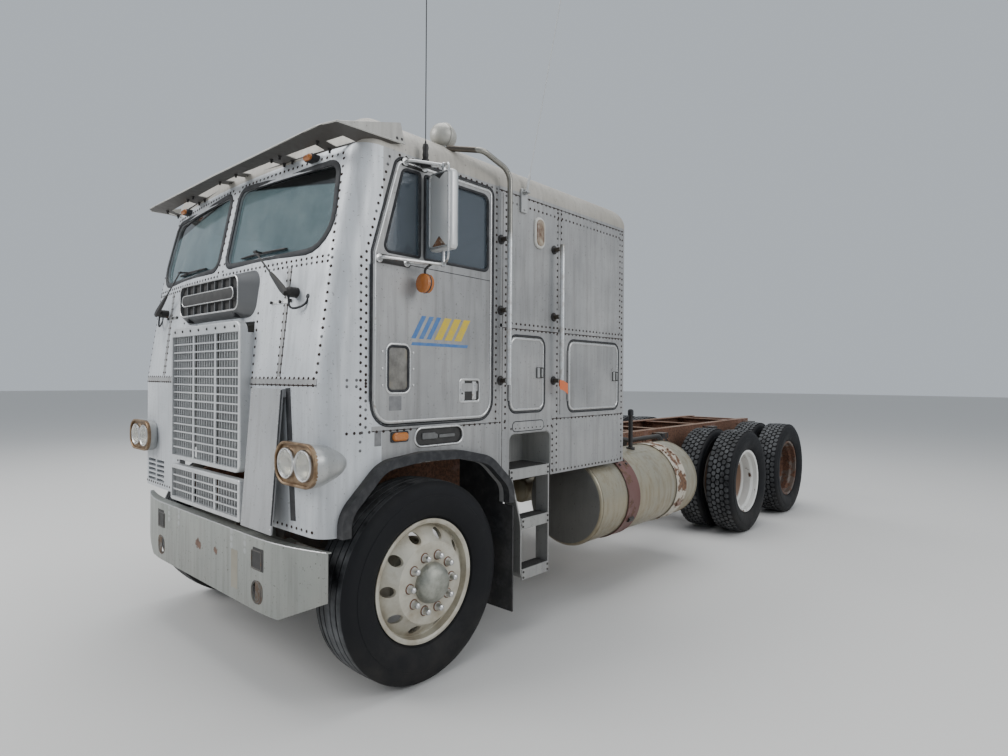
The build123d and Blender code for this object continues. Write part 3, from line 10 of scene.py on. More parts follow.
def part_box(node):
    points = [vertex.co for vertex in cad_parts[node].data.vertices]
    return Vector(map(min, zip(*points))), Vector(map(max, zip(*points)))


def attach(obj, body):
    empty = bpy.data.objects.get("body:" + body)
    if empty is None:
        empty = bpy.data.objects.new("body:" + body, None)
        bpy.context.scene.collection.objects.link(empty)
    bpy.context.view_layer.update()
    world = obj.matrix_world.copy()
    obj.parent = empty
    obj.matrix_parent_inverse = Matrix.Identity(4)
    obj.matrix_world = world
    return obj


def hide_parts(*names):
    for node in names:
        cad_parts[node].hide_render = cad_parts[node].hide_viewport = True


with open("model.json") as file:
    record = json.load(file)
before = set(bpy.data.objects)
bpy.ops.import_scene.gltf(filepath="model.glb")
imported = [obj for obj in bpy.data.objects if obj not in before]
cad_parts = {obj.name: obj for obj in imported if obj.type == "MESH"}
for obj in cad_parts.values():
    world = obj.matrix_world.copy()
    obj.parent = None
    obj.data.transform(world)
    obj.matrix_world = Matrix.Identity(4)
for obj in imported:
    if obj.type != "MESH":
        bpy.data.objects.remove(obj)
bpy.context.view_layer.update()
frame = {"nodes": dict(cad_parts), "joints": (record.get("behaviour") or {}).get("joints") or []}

# Where things stand. Distances called aft run back from the front axle, which the front wheel's
# joint gives; heights are above the ground and x is out to the truck's left.
joints = {joint["name"]: joint for joint in frame["joints"]}
front_axle_y = joints["front_wheel_left_spin"]["pos_m"][1]


def aft(distance):
    return front_axle_y + distance


forward, rearward, skyward = Vector((0, -1, 0)), Vector((0, 1, 0)), Vector((0, 0, 1))
# Columns: name, sign of x, way out from the truck's middle
truck_sides = (("left", 1, Vector((1, 0, 0))), ("right", -1, Vector((-1, 0, 0))))


# Camera at the photograph's place: a hand-held wide lens off the truck's left front corner,
# a little above the door's sill, almost level.
eye = Vector((3.5891, -5.0037, 1.6040))
turned_left, tipped_down, leaned = 0.7314, 0.0013, 0.0067
ahead = Vector(
    (-sin(turned_left) * cos(tipped_down), cos(turned_left) * cos(tipped_down), -sin(tipped_down)),
)
level_right = ahead.cross(skyward).normalized()
level_up = level_right.cross(ahead)
view_right = cos(leaned) * level_right + sin(leaned) * level_up
view_up = cos(leaned) * level_up - sin(leaned) * level_right
lens = bpy.data.cameras.new("photo_camera")
lens.sensor_width = 36
lens.lens = 21.896
lens.clip_end = 200
camera = bpy.data.objects.new("photo_camera", lens)
bpy.context.scene.collection.objects.link(camera)
camera.matrix_world = Matrix.Translation(eye) @ Matrix((view_right, view_up, -ahead)).transposed().to_4x4()
bpy.context.scene.camera = camera

# Floor and light: a pale matt floor, an even pale sky, one large soft lamp from the truck's
# front and smaller fills at the sides and back, so that the front reads lighter than the side.
floor_finish = bpy.data.materials.new("pale_floor")
floor_finish.use_nodes = True
floor_shader = floor_finish.node_tree.nodes["Principled BSDF"]
floor_shader.inputs["Base Color"].default_value = (0.62, 0.61, 0.59, 1)
floor_shader.inputs["Roughness"].default_value = 0.9
floor_form = bmesh.new()
bmesh.ops.create_circle(floor_form, cap_ends=True, segments=64, radius=70)
floor_mesh = bpy.data.meshes.new("studio_floor")
floor_form.to_mesh(floor_mesh)
floor_form.free()
floor_mesh.materials.append(floor_finish)
studio_floor = bpy.data.objects.new("studio_floor", floor_mesh)
bpy.context.scene.collection.objects.link(studio_floor)

sky = bpy.data.worlds.new("pale_sky")
bpy.context.scene.world = sky
sky.use_nodes = True
sky.node_tree.nodes["Background"].inputs["Color"].default_value = (0.80, 0.87, 0.95, 1)
sky.node_tree.nodes["Background"].inputs["Strength"].default_value = 0.62

# Columns: name, place, size, power
studio_lamps = [
    ("front_softbox", (-4.5, -11.0, 7.5), 6.0, 900),
    ("near_side_fill", (10.5, 1.0, 6.5), 6.0, 420),
    ("overhead_softbox", (0.0, -1.0, 11.0), 9.0, 700),
    ("far_side_fill", (-9.0, 5.0, 5.0), 5.0, 260),
]
for name, place, size, power in studio_lamps:
    lamp = bpy.data.lights.new(name, "AREA")
    lamp.size = size
    lamp.energy = power
    lamp_piece = bpy.data.objects.new(name, lamp)
    bpy.context.scene.collection.objects.link(lamp_piece)
    lamp_piece.location = place
    lamp_piece.rotation_euler = (Vector((0, -1.5, 1.2)) - Vector(place)).to_track_quat("-Z", "Y").to_euler()


# Frame rails and crossmembers: pressed steel channels, once red-brown paint, now mostly scaled
# rust with road dust on the flanges. The effects that other finishes share start here.
def add_node(tree, kind, feeds=None, **settings):
    """A shader node with its settings, its values and the sockets that feed it."""
    made = tree.nodes.new(kind)
    for name, value in settings.items():
        setattr(made, name, value)
    for name, value in (feeds or {}).items():
        if isinstance(value, bpy.types.NodeSocket):
            tree.links.new(value, made.inputs[name])
        else:
            made.inputs[name].default_value = value
    return made


def feed(node, label, source):
    """Links a source into a labelled input of a node."""
    node.id_data.links.new(source, node.inputs[label])


def new_effect(name, takes, gives):
    """A node group with named inputs and outputs; returns it with its two end nodes."""
    effect = bpy.data.node_groups.new(name, "ShaderNodeTree")
    for label, value in takes:
        kind = "NodeSocketColor" if isinstance(value, tuple) else "NodeSocketFloat"
        socket = effect.interface.new_socket(name=label, in_out="INPUT", socket_type=kind)
        socket.default_value = value
    for label, kind in gives:
        effect.interface.new_socket(name=label, in_out="OUTPUT", socket_type="NodeSocket" + kind)
    return effect, effect.nodes.new("NodeGroupInput"), effect.nodes.new("NodeGroupOutput")


def truck_place(tree):
    """Place on the truck in metres, by which every pattern is laid out."""
    return add_node(tree, "ShaderNodeTexCoord").outputs["Object"]


def axis_of(tree, vector, axis):
    return add_node(tree, "ShaderNodeSeparateXYZ", {"Vector": vector}).outputs[axis]


def speckle(tree, place, scale, detail=6.0, roughness=0.6):
    """Fractal noise."""
    feeds = {"Vector": place, "Scale": scale, "Detail": detail, "Roughness": roughness}
    return add_node(tree, "ShaderNodeTexNoise", feeds).outputs["Fac"]


def maths(tree, operation, first, second=0.5):
    return add_node(tree, "ShaderNodeMath", {0: first, 1: second}, operation=operation).outputs[0]


def multiplied(tree, first, second):
    return maths(tree, "MULTIPLY", first, second)


def ramped(tree, value, low, high, least=0.0, most=1.0):
    """A value spread from least at low to most at high."""
    feeds = {"Value": value, "From Min": low, "From Max": high, "To Min": least, "To Max": most}
    return add_node(tree, "ShaderNodeMapRange", feeds).outputs["Result"]


def blended(tree, share, under, over):
    """Colour that goes from under to over by a mask."""
    return add_node(tree, "ShaderNodeMix", {0: share, 6: under, 7: over}, data_type="RGBA").outputs[2]


rust_effect, rust_in, rust_out = new_effect(
    "rust_bloom",
    [("Paint", (0.3, 0.3, 0.3, 1)), ("Rust", (0.16, 0.065, 0.035, 1)), ("Amount", 0.4), ("Scale", 3.0)],
    [("Color", "Color"), ("Mask", "Float"), ("Height", "Float")],
)
tree = rust_effect
place = truck_place(tree)
bloom = speckle(tree, place, rust_in.outputs["Scale"], 11.0, 0.66)
level = maths(tree, "SUBTRACT", 0.78, multiplied(tree, rust_in.outputs["Amount"], 0.52))
mask = ramped(tree, maths(tree, "SUBTRACT", bloom, level), 0.0, 0.05)
flake = speckle(tree, place, 46.0, 8.0, 0.7)
deep = blended(tree, ramped(tree, flake, 0.35, 0.68), (0.045, 0.022, 0.016, 1), rust_in.outputs["Rust"])
feed(rust_out, "Color", blended(tree, mask, rust_in.outputs["Paint"], deep))
feed(rust_out, "Mask", mask)
feed(rust_out, "Height", multiplied(tree, mask, flake))

dust_effect, dust_in, dust_out = new_effect(
    "road_dust",
    [
        ("Color", (0.5, 0.5, 0.5, 1)), ("Dust", (0.33, 0.28, 0.21, 1)), ("Amount", 0.5),
        ("Splash Height", 1.1),
    ],
    [("Color", "Color"), ("Mask", "Float")],
)
tree = dust_effect
place = truck_place(tree)
facing = axis_of(tree, add_node(tree, "ShaderNodeNewGeometry").outputs["Normal"], "Z")
settled = ramped(tree, facing, 0.25, 1.0)
splash = ramped(tree, axis_of(tree, place, "Z"), dust_in.outputs["Splash Height"], 0.2)
patchy = ramped(tree, speckle(tree, place, 7.0, 9.0, 0.65), 0.3, 0.75)
spread = multiplied(tree, maths(tree, "MAXIMUM", settled, splash), patchy)
mask = multiplied(tree, spread, dust_in.outputs["Amount"])
feed(dust_out, "Color", blended(tree, mask, dust_in.outputs["Color"], dust_in.outputs["Dust"]))
feed(dust_out, "Mask", mask)


def placed(tree, effect, feeds):
    """An effect put into a material with its own values."""
    return add_node(tree, "ShaderNodeGroup", feeds, node_tree=effect).outputs


def new_finish(name, metallic=0.0, roughness=0.5):
    finish = bpy.data.materials.new(name)
    finish.use_nodes = True
    shader = finish.node_tree.nodes["Principled BSDF"]
    shader.inputs["Metallic"].default_value = metallic
    shader.inputs["Roughness"].default_value = roughness
    return finish, finish.node_tree, shader


def give_relief(tree, shader, height, depth):
    """Bump of a height, in metres of depth, on a shader."""
    bump = add_node(tree, "ShaderNodeBump", {"Height": height, "Distance": depth, "Strength": 1.0})
    feed(shader, "Normal", bump.outputs["Normal"])


def give_rust(tree, shader, coat, least):
    """Roughness and relief of rusted paint; least is the roughness of the paint that is left."""
    feed(shader, "Roughness", ramped(tree, coat["Mask"], 0.0, 1.0, least, 0.9))
    give_relief(tree, shader, coat["Height"], 0.0015)


def rusted_finish(name, paint, rust, amount, scale, dust, metallic=0.0):
    """Paint that has gone to scaled rust in patches, under road dust."""
    finish, tree, shader = new_finish(name, metallic, 0.75)
    coat = placed(tree, rust_effect, {"Paint": paint, "Rust": rust, "Amount": amount, "Scale": scale})
    dusty = placed(tree, dust_effect, {"Color": coat["Color"], "Amount": dust})
    feed(shader, "Base Color", dusty["Color"])
    give_rust(tree, shader, coat, 0.48)
    return finish


def dress(finish, *nodes):
    """Gives CAD nodes a finish in place of their plain one."""
    for name in nodes:
        for slot in frame["nodes"][name].material_slots:
            slot.material = finish


rail_rust = rusted_finish("rail_rust", (0.17, 0.085, 0.06, 1), (0.25, 0.115, 0.065, 1), 0.75, 2.2, 0.55)
dress(rail_rust, "frame_rails", "crossmembers")

# Axles, springs and steering: forged and pressed steel under black chassis paint, oily grime and
# dried mud, rusting at the edges.
chassis_black = rusted_finish(
    "chassis_black", (0.028, 0.028, 0.03, 1), (0.12, 0.055, 0.03, 1), 0.45, 5.0, 0.6,
)
dress(
    chassis_black, "front_axle", "drive_axles", "rear_suspension", "knuckle_left", "knuckle_right",
    "track_rod",
)

# Engine and radiator: cast iron and a copper core, oil-black and dusty, seen only from below.
engine_iron = rusted_finish(
    "engine_iron", (0.06, 0.062, 0.06, 1), (0.11, 0.06, 0.04, 1), 0.4, 4.0, 0.6, 0.3,
)
dress(engine_iron, "engine")
radiator_black = rusted_finish(
    "radiator_black", (0.03, 0.03, 0.03, 1), (0.07, 0.05, 0.035, 1), 0.35, 9.0, 0.35,
)
dress(radiator_black, "radiator")


# Tyres: black truck rubber, ribbed in front and with deep blocks behind, greyed on the tread by
# wear. Each replaces its plain solid and keeps its form.
def new_piece(name, form, finish, body, nodes=(), crease=32):
    """Turns built faces into a finished piece that rides on a body."""
    bmesh.ops.recalc_face_normals(form, faces=form.faces)
    mesh = bpy.data.meshes.new(name)
    form.to_mesh(mesh)
    form.free()
    mesh.materials.append(finish)
    mesh.shade_smooth()
    mesh.set_sharp_from_angle(angle=radians(crease))
    piece = bpy.data.objects.new(name, mesh)
    bpy.context.scene.collection.objects.link(piece)
    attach(piece, body)
    if nodes:
        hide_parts(*nodes)
    return piece


def bridge(form, ring, following):
    """Faces between two rings that have the same number of points."""
    for corner in range(len(ring)):
        after = (corner + 1) % len(ring)
        form.faces.new((ring[corner], ring[after], following[after], following[corner]))


def turn_section(form, section, centre, side, steps):
    """Turns a closed section of (outward, radius) points about the axle line through centre."""
    rings = []
    for step in range(steps):
        angle = tau * step / steps
        ring = [
            form.verts.new((centre.x + side * u, centre.y + r * sin(angle), centre.z + r * cos(angle)))
            for u, r in section
        ]
        rings.append(ring)
    for index, ring in enumerate(rings):
        bridge(form, ring, rings[(index + 1) % steps])


tyre_radius = 0.530
shoulder_drop = 0.0025
sidewall = [
    (0.0935, 0.3115), (0.0975, 0.3210), (0.0990, 0.3300), (0.1080, 0.3370), (0.1115, 0.3375),
    (0.1150, 0.3430), (0.1240, 0.3580), (0.1330, 0.3850), (0.1380, 0.4150), (0.1395, 0.4300),
    (0.1378, 0.4500), (0.1350, 0.4520), (0.1345, 0.4660), (0.1310, 0.4850), (0.1260, 0.4990),
]


def tyre_section(crown):
    """Whole section: outer sidewall up, over the crown, and down the inner sidewall."""
    inner = [(-u, r) for u, r in reversed(sidewall)]
    inside = [(-0.080, 0.318), (-0.105, 0.350), (-0.126, 0.430), (-0.115, 0.490), (0.115, 0.490)]
    inside += [(0.126, 0.430), (0.105, 0.350), (0.080, 0.318)]
    return sidewall + crown + inner + inside


rubber, tree, shader = new_finish("tyre_rubber", 0.0, 0.62)
shader.inputs["Specular IOR Level"].default_value = 0.28
place = truck_place(tree)
scuff = speckle(tree, place, 9.0, 8.0, 0.6)
black = blended(tree, ramped(tree, scuff, 0.4, 0.75), (0.004, 0.0045, 0.006, 1), (0.010, 0.010, 0.012, 1))


def reach_from(tree, place, axes, point):
    """Distance from a point, counted along some axes only."""
    flat = add_node(tree, "ShaderNodeVectorMath", {0: place, 1: axes}, operation="MULTIPLY")
    feeds = {0: flat.outputs["Vector"], 1: point}
    return add_node(tree, "ShaderNodeVectorMath", feeds, operation="DISTANCE").outputs["Value"]


reaches = []
for joint_name in ("front_wheel_left_spin", "drive_wheels_1_left_spin", "drive_wheels_2_left_spin"):
    axle_line = (0.0, joints[joint_name]["pos_m"][1], joints[joint_name]["pos_m"][2])
    reaches.append(reach_from(tree, place, (0.0, 1.0, 1.0), axle_line))
nearest = maths(tree, "MINIMUM", maths(tree, "MINIMUM", reaches[0], reaches[1]), reaches[2])
rubbed = multiplied(tree, ramped(tree, nearest, 0.5225, 0.5270), ramped(tree, scuff, 0.30, 0.62))
black = blended(tree, rubbed, black, (0.105, 0.108, 0.112, 1))
dust_feeds = {"Color": black, "Dust": (0.10, 0.09, 0.075, 1), "Amount": 0.2, "Splash Height": 0.4}
feed(shader, "Base Color", placed(tree, dust_effect, dust_feeds)["Color"])
feed(shader, "Roughness", ramped(tree, scuff, -0.6, 1.0))
give_relief(tree, shader, speckle(tree, place, 240.0, 4.0, 0.5), 0.0006)

rib_grooves = (0.070, 0.027, -0.027, -0.070)
rib_groove_half = 0.0055
rib_groove_depth = 0.012
rib_crown = [(0.112, 0.5180), (0.104, 0.5255)]
for groove in rib_grooves:
    rib_crown += [
        (groove + rib_groove_half, tyre_radius - shoulder_drop * (groove / 0.07) ** 2),
        (groove + rib_groove_half * 0.6, tyre_radius - rib_groove_depth),
        (groove - rib_groove_half * 0.6, tyre_radius - rib_groove_depth),
        (groove - rib_groove_half, tyre_radius - shoulder_drop * (groove / 0.07) ** 2),
    ]
rib_crown += [(-0.104, 0.5255), (-0.112, 0.5180)]
block_crown = [
    (0.118, 0.5100), (0.106, 0.5150), (0.05, 0.5170), (-0.05, 0.5170), (-0.106, 0.5150), (-0.118, 0.5100),
]

# Columns: middle of the row, half width, share of a pitch that it is staggered by
block_rows = [
    (0.0, 0.0185, 0.0), (0.0435, 0.0185, 0.5), (-0.0435, 0.0185, 0.5), (0.0895, 0.0215, 0.0),
    (-0.0895, 0.0215, 0.0),
]
blocks_round = 54
block_foot = 0.512


def add_tread_blocks(form, centre, side):
    """Six-sided blocks in staggered rows, each leaning in a little to its top."""
    pitch = tau / blocks_round
    for row, half, stagger in block_rows:
        top = tyre_radius - shoulder_drop * 1.6 * (row / 0.09) ** 2
        for index in range(blocks_round):
            middle = pitch * (index + stagger)
            outline = [
                (1, 0.20), (0.35, 0.40), (-0.35, 0.40), (-1, 0.20), (-1, -0.20), (-0.35, -0.40),
                (0.35, -0.40), (1, -0.20),
            ]
            levels = []
            for radius, swell in ((block_foot, 1.06), (top - 0.0015, 1.0), (top, 0.93)):
                level = []
                for across, along in outline:
                    angle = middle + along * pitch * swell
                    out = side * (row + across * half * swell)
                    level.append(form.verts.new((
                        centre.x + out, centre.y + radius * sin(angle), centre.z + radius * cos(angle),
                    )))
                levels.append(level)
            for lower, upper in zip(levels, levels[1:]):
                bridge(form, lower, upper)
            form.faces.new(levels[-1])
            form.faces.new(list(reversed(levels[0])))


for side_name, side, outward in truck_sides:
    low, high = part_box("tyre_front_" + side_name)
    form = bmesh.new()
    turn_section(form, tyre_section(rib_crown), (low + high) / 2, side, 96)
    new_piece(
        "front_tyre_" + side_name, form, rubber, "front_wheel_" + side_name, ("tyre_front_" + side_name,),
    )
    for axle in ("1", "2"):
        node = "tyres_drive_" + axle + "_" + side_name
        low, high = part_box(node)
        width = 0.279
        form = bmesh.new()
        for across in (low.x + width / 2, high.x - width / 2):
            centre = Vector((across, (low.y + high.y) / 2, (low.z + high.z) / 2))
            turn_section(form, tyre_section(block_crown), centre, side, 96)
            add_tread_blocks(form, centre, side)
        new_piece(
            "drive_tyres_" + axle + "_" + side_name, form, rubber, "drive_wheels_" + axle + "_" + side_name,
            (node,),
        )

# Front wheels: ten-stud steel discs in yellowed cream paint, with bright domed nut covers round
# a dull pressed hub cap. The disc is the frame's own; nuts and cap are fixed on it.
wheel_cream, tree, shader = new_finish("wheel_cream", 0.35, 0.42)
stain = speckle(tree, truck_place(tree), 8.0, 9.0, 0.62)
cream = blended(tree, ramped(tree, stain, 0.42, 0.72), (0.56, 0.535, 0.455, 1), (0.34, 0.29, 0.21, 1))
dusty = placed(tree, dust_effect, {"Color": cream, "Amount": 0.35, "Splash Height": 0.6})
feed(shader, "Base Color", dusty["Color"])
feed(shader, "Roughness", ramped(tree, stain, -0.3, 1.3))
give_relief(tree, shader, stain, 0.001)
dress(wheel_cream, "wheel_front_left", "wheel_front_right")


def mottled_finish(name, metallic, roughness, grain, under, over, spread=None, gloss=None, relief=0.0):
    """Two tones mottled by noise: grain is its scale, detail and roughness, spread the range of it
    that goes from one tone to the other, and gloss the range that is read as roughness."""
    finish, tree, shader = new_finish(name, metallic, roughness)
    mottle = speckle(tree, truck_place(tree), *grain)
    share = ramped(tree, mottle, *spread) if spread else mottle
    feed(shader, "Base Color", blended(tree, share, under, over))
    if gloss:
        feed(shader, "Roughness", ramped(tree, mottle, *gloss))
    if relief:
        give_relief(tree, shader, mottle, relief)
    return finish


bright_steel = mottled_finish(
    "bright_steel", 1.0, 0.2, (38.0, 8.0, 0.7), (0.66, 0.66, 0.65, 1), (0.27, 0.19, 0.13, 1), (0.58, 0.74),
    (0.05, 1.3),
)
dull_alloy = mottled_finish(
    "dull_alloy", 0.85, 0.5, (14.0, 9.0, 0.65), (0.30, 0.31, 0.31, 1), (0.56, 0.56, 0.55, 1),
    gloss=(-0.4, 1.2), relief=0.0008,
)
cap_olive = mottled_finish(
    "cap_olive", 0.7, 0.5, (18.0, 9.0, 0.65), (0.24, 0.245, 0.21, 1), (0.42, 0.42, 0.37, 1), (0.35, 0.65),
    (-0.2, 1.3),
)


def add_turned_cap(form, base, out, profile, steps):
    """A cap turned about out from base; its profile runs (height, radius) from rim to crown."""
    out = out.normalized()
    first = out.orthogonal().normalized()
    second = out.cross(first)
    rings = []
    for height, radius in profile:
        if radius == 0:
            rings.append([form.verts.new(base + out * height)])
            continue
        rings.append([
            form.verts.new(
                base + out * height + (first * cos(tau * i / steps) + second * sin(tau * i / steps)) * radius,
            )
            for i in range(steps)
        ])
    for lower, upper in zip(rings, rings[1:]):
        if len(upper) > 1:
            bridge(form, lower, upper)
            continue
        for i in range(steps):
            form.faces.new((lower[i], lower[(i + 1) % steps], upper[0]))
    form.faces.new(list(reversed(rings[0])))


stud_circle = 0.1429
nut_cover = [
    (-0.012, 0.0215), (0.006, 0.0215), (0.008, 0.0195), (0.026, 0.0185), (0.038, 0.0140), (0.043, 0.007),
    (0.0445, 0),
]
hub_cap = [
    (-0.01, 0.106), (0.006, 0.106), (0.016, 0.103), (0.034, 0.097), (0.050, 0.085), (0.061, 0.066),
    (0.068, 0.044), (0.071, 0.018), (0.0715, 0),
]
nut_washer = [(-0.004, 0.0275), (0.0015, 0.0270), (0.003, 0.0235), (0.003, 0)]
disc_face_x = 1.030 + 0.142


def add_stud_caps(form, middle, outward, profile, steps):
    """Ten caps on the stud circle of a wheel."""
    for stud in range(10):
        angle = tau * (stud + 0.5) / 10
        base = middle + Vector((0, sin(angle), cos(angle))) * stud_circle
        add_turned_cap(form, base, outward, profile, steps)


for side_name, side, outward in truck_sides:
    low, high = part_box("wheel_front_" + side_name)
    disc_face = Vector((side * disc_face_x, (low.y + high.y) / 2, (low.z + high.z) / 2))
    body = "front_wheel_" + side_name
    form = bmesh.new()
    add_stud_caps(form, disc_face, outward, nut_cover, 14)
    new_piece("nut_covers_" + side_name, form, bright_steel, body, ())
    form = bmesh.new()
    add_stud_caps(form, disc_face, outward, nut_washer, 20)
    new_piece("nut_washers_" + side_name, form, rail_rust, body)
    form = bmesh.new()
    add_turned_cap(form, disc_face, outward, hub_cap, 40)
    new_piece("hub_cap_" + side_name, form, cap_olive, body, ())


# Drive wheels: demountable rims, chalky white on the first axle and bare rust on the second.
def two_tone_wheel(name, rim, disc, middle, amount):
    """Wheel paint with one colour on the rim and another on the disc and hub, both rusting."""
    finish, tree, shader = new_finish(name, 0.0, 0.7)
    reach = reach_from(tree, truck_place(tree), (0.0, 1.0, 1.0), (0.0, middle.y, middle.z))
    coat = blended(tree, ramped(tree, reach, 0.262, 0.270), disc, rim)
    rusty = placed(
        tree, rust_effect, {"Paint": coat, "Rust": (0.17, 0.08, 0.045, 1), "Amount": amount, "Scale": 7.0},
    )
    feed(shader, "Base Color", rusty["Color"])
    give_rust(tree, shader, rusty, 0.45)
    return finish


first_axle_middle = Vector(joints["drive_wheels_1_left_spin"]["pos_m"])
second_axle_middle = Vector(joints["drive_wheels_2_left_spin"]["pos_m"])
drive_white = two_tone_wheel(
    "drive_wheel_white", (0.72, 0.72, 0.69, 1), (0.20, 0.115, 0.07, 1), first_axle_middle, 0.30,
)
drive_brown = two_tone_wheel(
    "drive_wheel_brown", (0.10, 0.075, 0.06, 1), (0.26, 0.15, 0.10, 1), second_axle_middle, 0.62,
)
dress(drive_white, "wheels_drive_1_left", "wheels_drive_1_right")
dress(drive_brown, "wheels_drive_2_left", "wheels_drive_2_right")
flange_x = 1.083 - 0.152
drive_nut = [(-0.004, 0.019), (0.016, 0.018), (0.018, 0.012), (0.034, 0.011), (0.034, 0)]
for side_name, side, outward in truck_sides:
    for axle in ("1", "2"):
        low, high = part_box("tyres_drive_" + axle + "_" + side_name)
        flange = Vector((side * flange_x, (low.y + high.y) / 2, (low.z + high.z) / 2))
        form = bmesh.new()
        add_stud_caps(form, flange, outward, drive_nut, 6)
        name = axle + "_" + side_name
        new_piece("drive_nuts_" + name, form, chassis_black, "drive_wheels_" + name)

# Cab shell: riveted aluminium sheet, once silver, now faded and chalky with vertical rain streaks,
# dark specks, soft dents between the rivets and grime along the skirts.
weather_effect, weather_in, weather_out = new_effect(
    "weathered_skin",
    [
        ("Skin", (0.4, 0.4, 0.4, 1)), ("Faded", (0.5, 0.5, 0.5, 1)), ("Grime", (0.12, 0.11, 0.10, 1)),
        ("Streaks", 0.5), ("Specks", 0.5), ("Grime Height", 1.4), ("Gloss", 0.0), ("Dents", 0.5),
    ],
    [("Color", "Color"), ("Roughness", "Float"), ("Normal", "Vector")],
)
tree = weather_effect
place = truck_place(tree)
skin, faded, grime = [weather_in.outputs[label] for label in ("Skin", "Faded", "Grime")]
drawn_out = add_node(tree, "ShaderNodeMapping", {"Vector": place, "Scale": (1.0, 1.0, 0.07)})
streak = speckle(tree, drawn_out.outputs["Vector"], 26.0, 7.0, 0.62)
cloud = speckle(tree, place, 2.1, 6.0, 0.55)
fleck = speckle(tree, place, 75.0, 3.0, 0.5)
aged = blended(tree, ramped(tree, cloud, 0.36, 0.66), skin, faded)
run_mask = multiplied(tree, ramped(tree, streak, 0.46, 0.72), weather_in.outputs["Streaks"])
streaked = blended(tree, multiplied(tree, run_mask, 0.55), aged, grime)
fleck_mask = multiplied(tree, ramped(tree, fleck, 0.66, 0.70), weather_in.outputs["Specks"])
flecked = blended(tree, fleck_mask, streaked, grime)
low_down = ramped(tree, axis_of(tree, place, "Z"), weather_in.outputs["Grime Height"], 0.45)
low_mask = multiplied(tree, low_down, ramped(tree, cloud, 0.25, 0.8))
feed(weather_out, "Color", blended(tree, multiplied(tree, low_mask, 0.6), flecked, grime))
chalk = ramped(tree, streak, 0.0, 1.0, 0.30, 0.72)
feed(weather_out, "Roughness", maths(tree, "SUBTRACT", chalk, weather_in.outputs["Gloss"]))
pan = multiplied(tree, speckle(tree, place, 3.4, 2.0, 0.4), weather_in.outputs["Dents"])
soft = add_node(tree, "ShaderNodeBump", {"Height": pan, "Distance": 0.05, "Strength": 1.0})
flecks = {"Height": fleck, "Distance": 0.0006, "Strength": 0.5, "Normal": soft.outputs["Normal"]}
feed(weather_out, "Normal", add_node(tree, "ShaderNodeBump", flecks).outputs["Normal"])


def weathered_finish(name, metallic, skin, faded, rusting=0.0, spots=(), dark=None, **feeds):
    """Weathered sheet: two tones of skin, streaks, specks, grime and rust, thicker round spots.
    Dark is a function that gives a mask and the colour of painted shade that lies over the sheet there."""
    finish, tree, shader = new_finish(name, metallic)
    values = {"Skin": skin, "Faded": faded}
    values.update({label.replace("_", " "): value for label, value in feeds.items()})
    worn = placed(tree, weather_effect, values)
    colour = worn["Color"]
    if rusting:
        amount = rusting
        for across, height, reach in spots:
            gap = reach_from(tree, truck_place(tree), (1.0, 0.0, 1.0), (across, 0.0, height))
            near = multiplied(tree, ramped(tree, gap, reach, reach * 0.1), 0.62)
            amount = maths(tree, "ADD", near, amount)
        rust_feeds = {"Paint": colour, "Rust": (0.20, 0.10, 0.06, 1), "Amount": amount, "Scale": 9.0}
        colour = placed(tree, rust_effect, rust_feeds)["Color"]
    if dark:
        mask, over = dark(tree)
        colour = blended(tree, mask, colour, over)
    feed(shader, "Base Color", colour)
    feed(shader, "Roughness", worn["Roughness"])
    feed(shader, "Normal", worn["Normal"])
    return finish


def painted_shade_above_grille(tree):
    """Painted shade in dark grey on the badge box, over the top of the grille's surround."""
    return ramped(tree, axis_of(tree, truck_place(tree), "Z"), 1.900, 1.908), (0.15, 0.152, 0.155, 1)


cab_silver = weathered_finish(
    "cab_silver", 0.40, (0.305, 0.306, 0.306, 1), (0.425, 0.423, 0.418, 1),
    Streaks=0.60, Specks=0.60, Grime_Height=1.30, Dents=0.12,
)
# The nose's silver is a lighter, bluer copy of the sides' silver: the difference is painted light on the
# front and painted shade on the sides.
nose_silver = weathered_finish(
    "nose_silver", 0.35, (0.52, 0.54, 0.56, 1), (0.68, 0.70, 0.72, 1),
    rusting=0.05, Streaks=0.45, Specks=0.5, Grime_Height=1.2, Dents=0.12,
)
roof_beige = weathered_finish(
    "roof_beige", 0.2, (0.37, 0.345, 0.30, 1), (0.49, 0.465, 0.42, 1),
    Streaks=0.4, Specks=0.5, Grime_Height=1.2, Dents=0.10,
)
trim_dark = weathered_finish(
    "trim_dark", 0.4, (0.37, 0.375, 0.38, 1), (0.47, 0.475, 0.48, 1), dark=painted_shade_above_grille,
    Streaks=0.45, Specks=0.6, Grime_Height=1.2, Dents=0.08,
)
dress(cab_silver, "cab_side_left", "cab_side_right", "cab_back", "door_left", "door_right")
dress(cab_silver, "locker_narrow_left", "locker_narrow_right", "locker_wide_left", "locker_wide_right")
dress(roof_beige, "cab_roof")
dress(nose_silver, "cab_front")
dress(trim_dark, "nose_trim")

# Rivets and lap joints: domed rivets in close rows along every seam, and the raised edge of the
# upper sheet where two overlap. They lie on the skin, found by casting on to it.
cab_skin_nodes = ("cab_front", "cab_side_left", "cab_side_right", "cab_back", "cab_roof")


def skin_of(*nodes):
    """Search tree of the faces of some CAD nodes."""
    points, faces = [], []
    for name in nodes:
        mesh = frame["nodes"][name].data
        start = len(points)
        points += [vertex.co.copy() for vertex in mesh.vertices]
        faces += [[start + index for index in face.vertices] for face in mesh.polygons]
    return BVHTree.FromPolygons(points, faces)


def seat_on(skin, start, heading, reach):
    """Point and outward normal where a line from start meets the skin within reach, or None."""
    place, normal, _, _ = skin.ray_cast(start, heading, reach)
    if place is None:
        return None
    if normal.dot(heading) > 0:
        normal = -normal
    if normal.dot(heading) > -0.35:
        return None
    return place, normal


